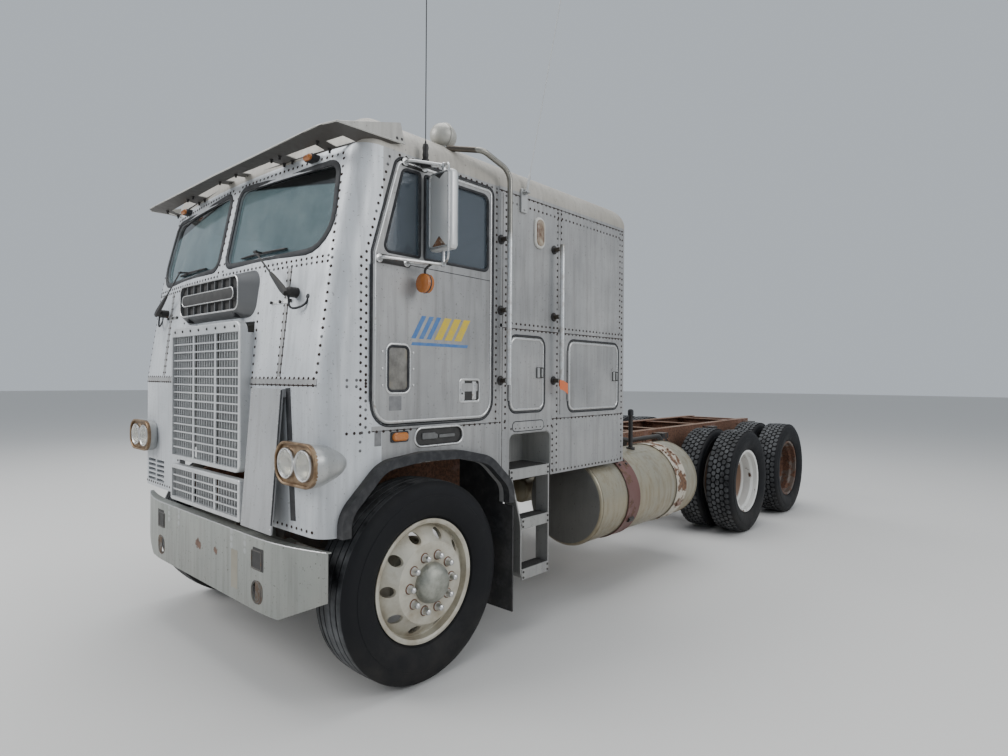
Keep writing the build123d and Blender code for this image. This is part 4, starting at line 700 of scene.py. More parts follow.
def stepped(corners, pitch):
    """Points along a run of corners, about a pitch apart."""
    points = []
    for start, stop in zip(corners, corners[1:]):
        start, stop = Vector(start), Vector(stop)
        count = max(1, round((stop - start).length / pitch))
        points += [start.lerp(stop, index / count) for index in range(count)]
    points.append(Vector(corners[-1]))
    return points


rivet_pitch = 0.042
rivet_dome = [(-0.001, 0.0082), (0.0014, 0.0075), (0.0030, 0.0048), (0.0037, 0)]
cab_skin = skin_of(*cab_skin_nodes)

# Rows on each side, (aft, height) corners
side_rivet_rows = [
    [(-0.50, 1.585), (-0.395, 1.585)], [(-0.50, 1.555), (-0.395, 1.555)],
    [(-0.395, 1.36), (-0.395, 2.20), (-0.262, 2.690)], [(-0.425, 1.25), (-0.425, 2.17)],
    [(-0.50, 1.335), (0.600, 1.335)], [(0.520, 1.36), (0.520, 2.69)], [(0.604, 1.30), (0.604, 2.69)],
    [(0.66, 1.896), (1.92, 1.896)], [(0.66, 1.930), (1.92, 1.930)], [(-0.20, 2.713), (1.92, 2.713)],
    [(1.075, 1.332), (1.92, 1.332)], [(0.66, 1.290), (1.06, 1.290)], [(1.115, 1.00), (1.115, 2.69)],
    [(1.155, 1.94), (1.155, 2.69)], [(1.925, 1.00), (1.925, 2.69)], [(1.895, 1.94), (1.895, 2.69)],
    [(1.075, 0.992), (1.92, 0.992)], [(1.070, 1.00), (1.070, 1.28)], [(0.66, 2.66), (1.88, 2.66)],
]
# Rows on the front, (across, height) corners
front_rivet_rows = [
    [(0.49, 1.560), (1.06, 1.560)], [(0.49, 1.592), (1.06, 1.592)], [(0.04, 2.178), (1.05, 2.172)],
    [(0.52, 2.150), (1.05, 2.145)], [(0.030, 2.20), (0.030, 2.68)], [(0.06, 2.702), (1.01, 2.690)],
    [(0.735, 1.62), (0.735, 2.12)], [(0.765, 1.62), (0.765, 2.12)], [(0.487, 0.90), (0.487, 1.54)],
    [(0.487, 1.62), (0.487, 1.93)], [(0.50, 0.884), (1.06, 0.884)], [(1.073, 1.62), (1.073, 2.16)],
    [(1.068, 2.20), (1.022, 2.66)],
]


# Places clear of the truck that lines are cast on to it from
ahead_of_nose = aft(-0.80)
beside_cab = 1.30


def front_seat(skin, across, height, reach=0.5):
    """Where a level line from ahead of the nose meets a skin."""
    return seat_on(skin, Vector((across, ahead_of_nose, height)), rearward, reach)


rivets = bmesh.new()
rivet_seats = []
for side_name, side, outward in truck_sides:
    for row in side_rivet_rows:
        for spot in stepped(row, rivet_pitch):
            start = Vector((side * beside_cab, aft(spot.x), spot.y))
            rivet_seats.append(seat_on(cab_skin, start, -outward, 0.24))
    for row in front_rivet_rows:
        rivet_seats += [front_seat(cab_skin, side * spot.x, spot.y) for spot in stepped(row, rivet_pitch)]
back_rivet_rows = [
    [(-1.09, 1.06), (1.09, 1.06)], [(-1.09, 1.90), (1.09, 1.90)], [(-1.09, 2.70), (1.09, 2.70)],
    [(-1.10, 1.10), (-1.10, 2.66)], [(1.10, 1.10), (1.10, 2.66)], [(-0.37, 1.63), (-0.37, 2.66)],
    [(0.37, 1.63), (0.37, 2.66)],
]
for row in back_rivet_rows:
    for spot in stepped(row, rivet_pitch):
        rivet_seats.append(seat_on(cab_skin, Vector((spot.x, aft(2.3), spot.y)), forward, 0.5))
for seat in rivet_seats:
    if seat:
        add_turned_cap(rivets, seat[0], seat[1], rivet_dome, 7)
rivet_grey = rusted_finish("rivet_grey", (0.14, 0.14, 0.14, 1), (0.05, 0.045, 0.04, 1), 0.7, 9.0, 0.2, 0.5)
new_piece("cab_rivets", rivets, rivet_grey, "cab")


def run_moulding(form, points, ups, section, closed):
    """Runs a closed section of (across, up) points along a line of points, each with its up."""
    count = len(points)
    rings = []
    for index in range(count):
        ahead_point = points[(index + 1) % count] if closed else points[min(index + 1, count - 1)]
        behind_point = points[index - 1] if closed else points[max(index - 1, 0)]
        heading = (ahead_point - behind_point).normalized()
        up = ups[index]
        across = heading.cross(up).normalized()
        rings.append([form.verts.new(points[index] + across * a + up * b) for a, b in section])
    for index in range(count if closed else count - 1):
        bridge(form, rings[index], rings[(index + 1) % count])
    if not closed:
        form.faces.new(rings[0])
        form.faces.new(list(reversed(rings[-1])))


def mould_on(form, seats, section, closed=False):
    """Runs a moulding over the seats that were found, each upright on its skin."""
    seats = [seat for seat in seats if seat]
    run_moulding(form, [seat[0] for seat in seats], [seat[1] for seat in seats], section, closed)


def flat_bead(width, rise):
    """Section of a thin strip with its edges eased."""
    return [
        (-width / 2, -0.001), (-width / 2 + 0.0012, rise), (width / 2 - 0.0012, rise), (width / 2, -0.001),
    ]


def round_bead(width, rise):
    """Section of a half-round moulding."""
    points = [(-width / 2, -0.001)]
    for step in range(1, 6):
        angle = pi * (1 - step / 6)
        points.append((cos(angle) * width / 2, sin(angle) * rise))
    points.append((width / 2, -0.001))
    return points


def lap_shadow(across):
    """Section of the grimy gap along one edge of a lap."""
    return [
        (across - 0.0022, -0.001), (across - 0.0022, 0.0006), (across + 0.0022, 0.0006),
        (across + 0.0022, -0.001),
    ]


lap_width = 0.030
lap_rise = 0.0016
laps, lap_lines = bmesh.new(), bmesh.new()
side_laps = [
    [(0.545, 1.913), (1.94, 1.913)], [(-0.36, 1.350), (0.545, 1.350)], [(1.06, 1.348), (1.94, 1.348)],
    [(0.562, 1.00), (0.562, 2.70)], [(1.135, 1.36), (1.135, 2.70)], [(0.54, 2.728), (1.94, 2.728)],
]
front_laps = [[(0.47, 1.576), (1.08, 1.576)], [(0.75, 1.60), (0.75, 2.14)]]
for side_name, side, outward in truck_sides:
    runs = []
    for row in side_laps:
        starts = [Vector((side * beside_cab, aft(spot.x), spot.y)) for spot in stepped(row, 0.03)]
        runs.append(([seat_on(cab_skin, start, -outward, 0.20) for start in starts], 0.022, 0.0135))
    for row in front_laps:
        seats = [front_seat(cab_skin, side * spot.x, spot.y) for spot in stepped(row, 0.03)]
        runs.append((seats, lap_width, 0.0175))
    for seats, width, line_at in runs:
        mould_on(laps, seats, flat_bead(width, lap_rise))
        mould_on(lap_lines, seats, lap_shadow(side * line_at))
new_piece("cab_lap_joints", laps, cab_silver, "cab", ())
new_piece("cab_lap_lines", lap_lines, rivet_grey, "cab")


# Doors and lockers: sheet doors and lids edged with a bright half-round moulding over a black
# rubber seal, with rubber round their windows and a line pressed in at the waist.
def rounded_outline(corners, radii, steps=6):
    """Closed outline of flat corners with an arc of its radius at each."""
    outline = []
    count = len(corners)
    for index in range(count):
        here = Vector(corners[index])
        back_way = (Vector(corners[index - 1]) - here).normalized()
        on_way = (Vector(corners[(index + 1) % count]) - here).normalized()
        half = back_way.angle(on_way) / 2
        centre = here + (back_way + on_way).normalized() * radii[index] / sin(half)
        first = here + back_way * radii[index] / tan(half) - centre
        last = here + on_way * radii[index] / tan(half) - centre
        start = atan2(first.y, first.x)
        sweep = (atan2(last.y, last.x) - start + pi) % tau - pi
        for step in range(steps + 1):
            angle = start + sweep * step / steps
            outline.append(centre + Vector((cos(angle), sin(angle))) * radii[index])
    return outline


def shrunk(outline, amount):
    """An outline drawn in by an amount, by moving each point along its own inward normal."""
    middle = sum(outline, Vector((0, 0))) / len(outline)
    drawn = []
    count = len(outline)
    for index, point in enumerate(outline):
        heading = (outline[(index + 1) % count] - outline[index - 1]).normalized()
        inward = Vector((-heading.y, heading.x))
        if inward.dot(middle - point) < 0:
            inward = -inward
        drawn.append(point + inward * amount)
    return drawn


def side_moulding(form, outline, side, x, section):
    """A closed moulding that follows an (aft, height) outline on a side wall."""
    points = [Vector((side * x, aft(spot.x), spot.y)) for spot in outline]
    run_moulding(form, points, [Vector((side, 0, 0))] * len(points), section, True)


black_rubber, tree, shader = new_finish("black_rubber", 0.0, 0.7)
perished = speckle(tree, truck_place(tree), 22.0)
black = blended(tree, ramped(tree, perished, 0.45, 0.8), (0.014, 0.015, 0.018, 1), (0.055, 0.055, 0.058, 1))
dust_feeds = {"Color": black, "Dust": (0.2, 0.18, 0.15, 1), "Amount": 0.3, "Splash Height": 1.2}
feed(shader, "Base Color", placed(tree, dust_effect, dust_feeds)["Color"])
give_relief(tree, shader, perished, 0.0008)

cab_side_x = 1.143
door_outline = rounded_outline(
    [(-0.362, 1.362), (0.487, 1.362), (0.487, 2.700), (-0.215, 2.700), (-0.362, 2.208)],
    [0.112, 0.112, 0.042, 0.060, 0.060],
)
vent_outline = rounded_outline(
    [(-0.296, 2.220), (-0.066, 2.220), (-0.066, 2.652), (-0.178, 2.652)], [0.030, 0.012, 0.012, 0.040],
)
main_outline = rounded_outline(
    [(-0.034, 2.216), (0.448, 2.216), (0.448, 2.652), (-0.034, 2.652)], [0.012, 0.035, 0.045, 0.012],
)
peep_outline = rounded_outline(
    [(-0.266, 1.530), (-0.136, 1.530), (-0.136, 1.756), (-0.266, 1.756)], [0.028] * 4,
)
locker_outlines = {
    "narrow": rounded_outline(
        [(0.640, 1.392), (0.980, 1.392), (0.980, 1.856), (0.640, 1.856)], [0.060] * 4,
    ),
    "wide": rounded_outline([(1.240, 1.376), (1.876, 1.376), (1.876, 1.856), (1.240, 1.856)], [0.060] * 4),
}
for side_name, side, outward in truck_sides:
    body = "door_" + side_name
    form = bmesh.new()
    side_moulding(form, shrunk(door_outline, 0.017), side, cab_side_x, round_bead(0.013, 0.006))
    side_moulding(form, shrunk(peep_outline, -0.010), side, cab_side_x, round_bead(0.013, 0.005))
    for back in (-0.298, -0.104):
        for height in (1.560, 1.643, 1.726):
            add_turned_cap(
                form, Vector((side * cab_side_x, aft(back), height)), outward,
                [(-0.001, 0.0075), (0.003, 0.006), (0.004, 0)], 8,
            )
    new_piece("door_mouldings_" + side_name, form, bright_steel, body, ())
    form = bmesh.new()
    for outline in (vent_outline, main_outline, peep_outline):
        side_moulding(form, outline, side, cab_side_x, round_bead(0.016, 0.005))
    waist = [
        Vector((side * cab_side_x, aft(back), 2.174 - 0.013 * (back + 0.34)))
        for back in (-0.340, 0.065, 0.466)
    ]
    run_moulding(form, waist, [outward] * 3, flat_bead(0.005, 0.0012), False)
    new_piece("door_window_seals_" + side_name, form, black_rubber, body, ())
    for locker_name, outline in locker_outlines.items():
        locker = locker_name + "_" + side_name
        form = bmesh.new()
        side_moulding(form, shrunk(outline, 0.015), side, cab_side_x, round_bead(0.014, 0.006))
        new_piece(
            "locker_moulding_" + locker, form, bright_steel, "locker_" + locker, (),
        )
    form = bmesh.new()
    for outline in list(locker_outlines.values()) + [door_outline]:
        side_moulding(form, shrunk(outline, -0.006), side, cab_side_x, round_bead(0.011, 0.003))
    new_piece("opening_seals_" + side_name, form, black_rubber, "cab", ())

# Glass: faintly green laminated panes gone cloudy with dust, held in black rubber gaskets.
cab_glass, tree, shader = new_finish("cab_glass", 0.0, 0.06)
shader.inputs["Transmission Weight"].default_value = 0.72
shader.inputs["IOR"].default_value = 1.46
place = truck_place(tree)
haze = speckle(tree, place, 5.0)
reach = maths(tree, "ABSOLUTE", axis_of(tree, place, "X"))
clear = blended(tree, ramped(tree, haze, 0.3, 0.7), (0.22, 0.34, 0.37, 1), (0.40, 0.52, 0.54, 1))
clear = blended(tree, ramped(tree, reach, 1.09, 1.10), clear, (0.26, 0.31, 0.36, 1))
# The dark slanted band along the top of the windscreens is a painted reflection of the visor.
edge_line = maths(tree, "ADD", axis_of(tree, place, "Z"), multiplied(tree, reach, 0.139))
painted_visor_reflection = multiplied(tree, ramped(tree, edge_line, 2.676, 2.684), ramped(tree, reach, 1.10, 1.09))
feed(shader, "Base Color", blended(tree, painted_visor_reflection, clear, (0.012, 0.016, 0.018, 1)))
feed(shader, "Roughness", ramped(tree, haze, 0.0, 1.0, 0.01, 0.14))
dress(cab_glass, "windscreens", "door_glass_left", "door_glass_right")

screen_outline = rounded_outline(
    [(0.062, 2.232), (1.045, 2.218), (0.985, 2.642), (0.062, 2.668)], [0.055, 0.150, 0.075, 0.055],
)
form = bmesh.new()
for side_name, side, outward in truck_sides:
    seats = [front_seat(cab_skin, side * spot.x, spot.y, 0.6) for spot in shrunk(screen_outline, -0.012)]
    mould_on(form, seats, round_bead(0.034, 0.008), True)
new_piece("screen_gaskets", form, black_rubber, "cab", ())

# Handle and latches: a dark bowl with a plate and an upright bar on each door, a boxed latch on
# each locker, and an oval recess low on each side, framed in bright half-round trim.
def plate_ring(across, up, half_across, half_up, radius, steps=6):
    """Outline of a rounded plate round its middle."""
    corners = [
        (across - half_across, up - half_up), (across + half_across, up - half_up),
        (across + half_across, up + half_up), (across - half_across, up + half_up),
    ]
    return rounded_outline(corners, [radius] * 4, steps)


def add_skin(form, rings, close_first=True):
    """Skins a run of closed rings that all have the same number of points."""
    made = [[form.verts.new(point) for point in ring] for ring in rings]
    for lower, upper in zip(made, made[1:]):
        bridge(form, lower, upper)
    if close_first:
        form.faces.new(list(reversed(made[0])))
    form.faces.new(made[-1])


def on_side(side, x=cab_side_x):
    """Places (aft, height) spots on a flat side at x, then out."""
    def place(back, up, out):
        return Vector((side * (x + out), aft(back), up))
    return place


def on_front(front):
    """Places (across, height) spots on an upright plane at an aft distance, then out forwards."""
    def place(across, up, out):
        return Vector((across, aft(front) - out, up))
    return place


def front_moulding(form, outline, front, section, out=0):
    """A closed moulding that follows an (across, height) outline on a plane that faces forwards."""
    points = [front(spot.x, spot.y, out) for spot in outline]
    run_moulding(form, points, [forward] * len(points), section, True)


def add_plate(form, middle, half, radius, levels, place):
    """A rounded plate built up through levels of (drawn in by, out)."""
    rings = []
    for drawn_in, out in levels:
        outline = plate_ring(
            middle[0], middle[1], half[0] - drawn_in, half[1] - drawn_in, max(radius - drawn_in, 0.0008),
        )
        rings.append([place(spot.x, spot.y, out) for spot in outline])
    add_skin(form, rings)


def plate_piece(name, finish, body, place, plates):
    """A piece made only of plates, each (middle, half, radius, levels)."""
    form = bmesh.new()
    for plate in plates:
        add_plate(form, *plate, place)
    return new_piece(name, form, finish, body, ())


dark_bowl = mottled_finish(
    "dark_bowl", 0.3, 0.65, (18.0,), (0.015, 0.015, 0.016, 1), (0.075, 0.072, 0.068, 1), relief=0.0008,
)
worn_casting = mottled_finish(
    "worn_casting", 0.6, 0.5, (22.0,), (0.08, 0.08, 0.08, 1), (0.26, 0.26, 0.255, 1),
)
handle_middle = (0.304, 1.528)
recess_middle = (0.081, 1.288)
for side_name, side, outward in truck_sides:
    wall = on_side(side)
    body = "door_" + side_name
    form = bmesh.new()
    outline = plate_ring(handle_middle[0], handle_middle[1], 0.078, 0.062, 0.017)
    side_moulding(form, outline, side, cab_side_x, round_bead(0.013, 0.004))
    add_plate(
        form, (0.2465, 1.528), (0.0175, 0.0565), 0.008, [(0.0, -0.014), (0.0, 0.0), (0.001, 0.0015)], wall,
    )
    add_plate(
        form, (0.3395, 1.528), (0.0155, 0.0520), 0.005,
        [(0.0, -0.014), (0.0, 0.0), (0.003, 0.0035), (0.009, 0.0045)], wall,
    )
    new_piece("door_handle_" + side_name, form, bright_steel, body, ())
    form = bmesh.new()
    add_plate(form, handle_middle, (0.0745, 0.0585), 0.0135, [(0.0, -0.0158), (0.0, -0.0018)], wall)
    add_turned_cap(
        form, wall(0.2445, 1.512, 0.001), outward, [(0, 0.0065), (0.0012, 0.006), (0.0012, 0)], 12,
    )
    new_piece("handle_bowl_" + side_name, form, dark_bowl, body, ())
    for locker_name, latch_aft, latch_up in (("narrow", 0.927, 1.634), ("wide", 1.823, 1.616)):
        locker = locker_name + "_" + side_name
        form = bmesh.new()
        side_moulding(
            form, plate_ring(latch_aft, latch_up, 0.0345, 0.0350, 0.006), side, cab_side_x,
            round_bead(0.007, 0.004),
        )
        add_plate(
            form, (latch_aft - 0.018, latch_up), (0.012, 0.031), 0.003,
            [(0.0, 0.001), (0.0, 0.012), (0.002, 0.0138)], wall,
        )
        add_plate(
            form, (latch_aft + 0.016, latch_up), (0.006, 0.026), 0.003,
            [(0.0, 0.001), (0.0, 0.015), (0.002, 0.017)], wall,
        )
        new_piece("latch_" + locker, form, dull_alloy, "locker_" + locker, ())
        plate_piece("latch_back_" + locker, dark_bowl, "locker_" + locker, wall, [
            ((latch_aft, latch_up), (0.0335, 0.0345), 0.005, [(0.0, 0.0), (0.0, 0.0095), (0.001, 0.0105)]),
        ])
    form = bmesh.new()
    side_moulding(
        form, plate_ring(recess_middle[0], recess_middle[1], 0.172, 0.049, 0.0485, 10), side, cab_side_x,
        round_bead(0.012, 0.005),
    )
    new_piece("recess_trim_" + side_name, form, bright_steel, "cab", ())
    form = bmesh.new()
    add_plate(
        form, (0.010, 1.292), (0.046, 0.017), 0.006, [(0.0, -0.0115), (0.0, -0.0050), (0.002, -0.0035)],
        wall,
    )
    add_plate(
        form, (0.140, 1.286), (0.058, 0.009), 0.006, [(0.0, -0.0115), (0.0, -0.0060), (0.002, -0.0045)],
        wall,
    )
    add_turned_cap(form, wall(0.062, 1.288, -0.0115), outward, [(0, 0.014), (0.005, 0.013), (0.006, 0)], 16)
    new_piece("recess_fittings_" + side_name, form, worn_casting, "cab", ())
    plate_piece("recess_floor_" + side_name, dark_bowl, "cab", wall, [
        (recess_middle, (0.1700, 0.0470), 0.0465, [(0.0, -0.0118), (0.0, -0.0110)]),
    ])

# Peep pane and hinge covers: each low pane in the doors has gone grey-beige and blind, and a
# rubber sleeve lies over each door's hinge.
hazed_pane, tree, shader = new_finish("hazed_pane", 0.0, 0.45)
place = truck_place(tree)
mottle = speckle(tree, place, 16.0)
film_colour = blended(
    tree, ramped(tree, mottle, 0.35, 0.65), (0.12, 0.112, 0.10, 1), (0.26, 0.25, 0.225, 1),
)
yellow = ramped(tree, speckle(tree, place, 4.0), 0.50, 0.62)
feed(shader, "Base Color", blended(tree, yellow, film_colour, (0.22, 0.17, 0.09, 1)))
feed(shader, "Roughness", ramped(tree, mottle, -0.1, 1.1))
for side_name, side, outward in truck_sides:
    plate_piece("peep_pane_" + side_name, hazed_pane, "door_" + side_name, on_side(side), [
        ((-0.201, 1.643), (0.0635, 0.1115), 0.027, [(0.0, -0.006), (0.0, -0.0015), (0.001, -0.001)]),
    ])
    form = bmesh.new()
    knuckle = Vector((side * 1.150, aft(-0.370), 1.484))
    add_turned_cap(
        form, knuckle, skyward,
        [(0, 0.0066), (0.002, 0.0072), (0.660, 0.0072), (0.662, 0.0066), (0.662, 0)], 16,
    )
    new_piece("hinge_cover_" + side_name, form, black_rubber, "door_" + side_name, ())

# Door colours: a plain device of slanted bars in faded yellow and blue vinyl laid on the sheet,
# and two grey patches where old tape has come away.
vinyl_colours = {
    "yellow": ((0.66, 0.47, 0.03, 1), (0.52, 0.40, 0.10, 1)),
    "blue": ((0.05, 0.16, 0.42, 1), (0.12, 0.22, 0.40, 1)),
    "grey": ((0.16, 0.16, 0.165, 1), (0.23, 0.23, 0.23, 1)),
}
vinyls = {
    name: mottled_finish("door_vinyl_" + name, 0.0, 0.42, (30.0,), fresh, worn, (0.4, 0.7), (-0.4, 1.4))
    for name, (fresh, worn) in vinyl_colours.items()
}


def add_slanted_bar(form, back, up, length, rise, wall):
    """One leaning bar of vinyl."""
    lean = rise * 0.6
    low = [(back, up), (back + length, up), (back + length + lean, up + rise), (back + lean, up + rise)]
    add_skin(form, [[wall(a, b, out) for a, b in low] for out in (0.0, 0.0006)])


for side_name, side, outward in truck_sides:
    wall = on_side(side)
    bars = {
        "blue": [(-0.12 + 0.052 * step, 1.800, 0.030, 0.120) for step in range(3)],
        "yellow": [(0.040 + 0.072 * step, 1.800, 0.050, 0.120) for step in range(3)],
    }
    bars["blue"].append((-0.12, 1.765, 0.40, 0.016))
    for name, rows in bars.items():
        form = bmesh.new()
        for back, up, length, rise in rows:
            add_slanted_bar(form, back, up, length, rise, wall)
        new_piece("door_vinyl_" + name + "_" + side_name, form, vinyls[name], "door_" + side_name)
    plate_piece("tape_mark_" + side_name, vinyls["grey"], "door_" + side_name, wall, [
        ((-0.2180, 1.470), (0.0390, 0.036), 0.004, [(0, 0), (0.0006, 0.0005)]),
    ])
    plate_piece("skirt_patch_" + side_name, vinyls["grey"], "cab", wall, [
        ((-0.3225, 1.3065), (0.0205, 0.0425), 0.003, [(0, 0), (0.0006, 0.0008)]),
    ])

# Grilles: a frame of extruded aluminium round thin vanes and ledges, anodised and gone grey, held
# by a row of small bolts along its top.
grille_alloy = weathered_finish(
    "grille_alloy", 0.5, (0.54, 0.55, 0.56, 1), (0.68, 0.69, 0.69, 1), rusting=0.04,
    Streaks=0.35, Specks=0.5, Grime_Height=1.1, Gloss=0.08, Dents=0.0,
)
dress(grille_alloy, "grilles")
form = bmesh.new()
front = on_front(-0.690)
for place_x in (-0.40, -0.286, -0.171, -0.057, 0.057, 0.171, 0.286, 0.40):
    add_turned_cap(
        form, front(place_x, 1.862, 0), forward,
        [(-0.001, 0.0085), (0.003, 0.0085), (0.005, 0.005), (0.005, 0)], 6,
    )
new_piece("grille_bolts", form, dark_bowl, "cab", ())

# Badge box: a flared pressing, its dark grey painted shade laid on by the nose trim's finish. Dark plates lie
# behind its bars and over its blank middle, each with a silver rim, and two rubber-capped buffers stand under
# it.
box_face_aft = -0.668
form = bmesh.new()
front = on_front(box_face_aft)
add_plate(form, (0, 2.045), (0.380, 0.085), 0.041, [(0, -0.0178), (0, -0.0165)], front)
add_plate(form, (0, 2.045), (0.345, 0.033), 0.032, [(0, 0.002), (0, 0.0035), (0.002, 0.0045)], front)
new_piece("badge_back", form, dark_bowl, "cab", ())
form = bmesh.new()
for place_x in (-0.305, 0.305):
    base = Vector((place_x, aft(-0.646), 1.936))
    add_turned_cap(
        form, base, forward,
        [(-0.030, 0.0185), (0.002, 0.0185), (0.008, 0.0165), (0.012, 0.011), (0.013, 0)], 20,
    )
new_piece("box_buffers", form, black_rubber, "cab", ())
form = bmesh.new()
side_outline = plate_ring(0, 2.045, 0.3855, 0.0905, 0.0455, 10)
front_moulding(form, side_outline, front, round_bead(0.009, 0.003))
plate_outline = plate_ring(0, 2.045, 0.342, 0.031, 0.030, 8)
front_moulding(form, plate_outline, front, round_bead(0.006, 0.003), 0.004)
new_piece("badge_rim", form, bright_steel, "cab", ())

# Flap beside the grille: folded sheet, bolted along its edges, with a rubber strip on one side.
form = bmesh.new()
flap_heading = Vector((0, 0.052, 0.694)).normalized()
flap_out = Vector((0, -flap_heading.z, flap_heading.y))
flap_foot = Vector((0, aft(-0.7075), 0.852))
for place_x in (0.534, 0.820):
    for step in range(10):
        base = flap_foot + Vector((place_x, 0, 0)) + flap_heading * (0.02 + 0.072 * step)
        add_turned_cap(form, base, flap_out, [(-0.001, 0.0055), (0.0012, 0.0045), (0.0019, 0)], 8)
new_piece("flap_bolts", form, bright_steel, "cab", ())
form = bmesh.new()
strip = [flap_foot + Vector((0.830, 0, 0)) + flap_heading * along for along in (0.04, 0.35, 0.685)]
run_moulding(form, strip, [flap_out] * 3, flat_bead(0.010, 0.003), False)
new_piece("flap_strip", form, black_rubber, "cab", ())
# The black strip along the gap beside the flap is a painted shadow.
form = bmesh.new()
gap_seats = [front_seat(cab_skin, 0.846 + 0.004 * step, 1.545 - 0.045 * step, 0.6) for step in range(15)]
mould_on(form, gap_seats, flat_bead(0.046, 0.0015))
new_piece("flap_shadow", form, black_rubber, "cab", ())

# Headlamps: two round sealed lamps a side in a bronze-brown bezel, set in a polished teardrop pod
# that runs back round the corner of the nose.
pod_rows = [
    (-0.690, 1.018, 0.180, 0.101), (-0.640, 1.021, 0.178, 0.099), (-0.585, 1.038, 0.142, 0.084),
    (-0.530, 1.062, 0.102, 0.060), (-0.500, 1.090, 0.056, 0.032),
]  # aft, middle from the centreline, half width, half height
lamp_height = 1.199
lamp_places = (0.937, 1.089)


def smoothed(rows, steps):
    """Rows of numbers with steps of a smooth curve put between each two."""
    full = [rows[0]] + list(rows) + [rows[-1]]
    made = []
    for index in range(1, len(full) - 2):
        for step in range(steps):
            t = step / steps
            made.append([
                0.5 * (
                    2 * b + (c - a) * t + (2 * a - 5 * b + 4 * c - d) * t ** 2
                    + (3 * b - a - 3 * c + d) * t ** 3
                )
                for a, b, c, d in zip(*full[index - 1:index + 3])
            ])
    made.append(list(rows[-1]))
    return made


def under_skin(point, side, depth=0.003):
    """Draws a hidden point of a nose fitting up to just under the cab's skin."""
    front, _, _, _ = cab_skin.ray_cast(Vector((point.x, ahead_of_nose, point.z)), rearward, 0.6)
    start = Vector((side * beside_cab, point.y, point.z))
    flank, _, _, _ = cab_skin.ray_cast(start, Vector((-side, 0, 0)), 0.5)
    if front is None or flank is None:
        return point
    behind, within = point.y - front.y, side * (flank.x - point.x)
    if min(behind, within) <= depth:
        return point
    if behind < within:
        return Vector((point.x, front.y + depth, point.z))
    return Vector((flank.x - side * depth, point.y, point.z))


pod_silver = weathered_finish(
    "pod_silver", 0.7, (0.42, 0.43, 0.43, 1), (0.52, 0.52, 0.50, 1), rusting=0.08,
    Streaks=0.3, Specks=0.4, Grime_Height=1.15, Gloss=0.12, Dents=0.03,
)
lamp_bronze = mottled_finish(
    "lamp_bronze", 0.8, 0.4, (26.0,), (0.15, 0.085, 0.04, 1), (0.36, 0.27, 0.18, 1), (0.35, 0.7),
    (-0.1, 1.2),
)
lamp_mirror = mottled_finish(
    "lamp_mirror", 1.0, 0.14, (12.0,), (0.82, 0.80, 0.72, 1), (0.60, 0.58, 0.50, 1),
)
lamp_lens = mottled_finish("lamp_lens", 0.0, 0.08, (9.0,), (0.95, 0.95, 0.92, 1), (0.90, 0.88, 0.80, 1))
amber_lens = mottled_finish(
    "amber_lens", 0.0, 0.22, (20.0,), (0.36, 0.085, 0.008, 1), (0.55, 0.20, 0.03, 1),
)
brown_lens = mottled_finish(
    "brown_lens", 0.0, 0.35, (16.0,), (0.13, 0.065, 0.035, 1), (0.42, 0.36, 0.27, 1), (0.38, 0.62),
)
bezel_white = mottled_finish("bezel_white", 0.0, 0.5, (14.0,), (0.50, 0.49, 0.45, 1), (0.66, 0.65, 0.61, 1))


def waves(tree, scale, direction, distortion=0.0):
    """Even bands laid out along one direction."""
    feeds = {"Vector": truck_place(tree), "Scale": scale, "Distortion": distortion}
    return add_node(tree, "ShaderNodeTexWave", feeds, bands_direction=direction).outputs["Fac"]


# Columns: lens, input of its shader that is set, value, ribs' scale, direction and depth
for lens_finish, label, value, scale, direction, depth in (
    (lamp_lens, "Transmission Weight", 0.80, 34.0, "X", 0.0012),
    (amber_lens, "Coat Weight", 0.5, 60.0, "Z", 0.0007),
):
    tree = lens_finish.node_tree
    shader = tree.nodes["Principled BSDF"]
    shader.inputs[label].default_value = value
    give_relief(tree, shader, waves(tree, scale, direction), depth)


def add_turned_ring(form, base, out, section, steps):
    """A closed section of (out, radius) turned about a line out from base."""
    first = out.orthogonal().normalized()
    second = out.cross(first)
    rings = []
    for step in range(steps):
        spoke = first * cos(tau * step / steps) + second * sin(tau * step / steps)
        rings.append([form.verts.new(base + out * height + spoke * radius) for height, radius in section])
    for index, ring in enumerate(rings):
        bridge(form, ring, rings[(index + 1) % steps])


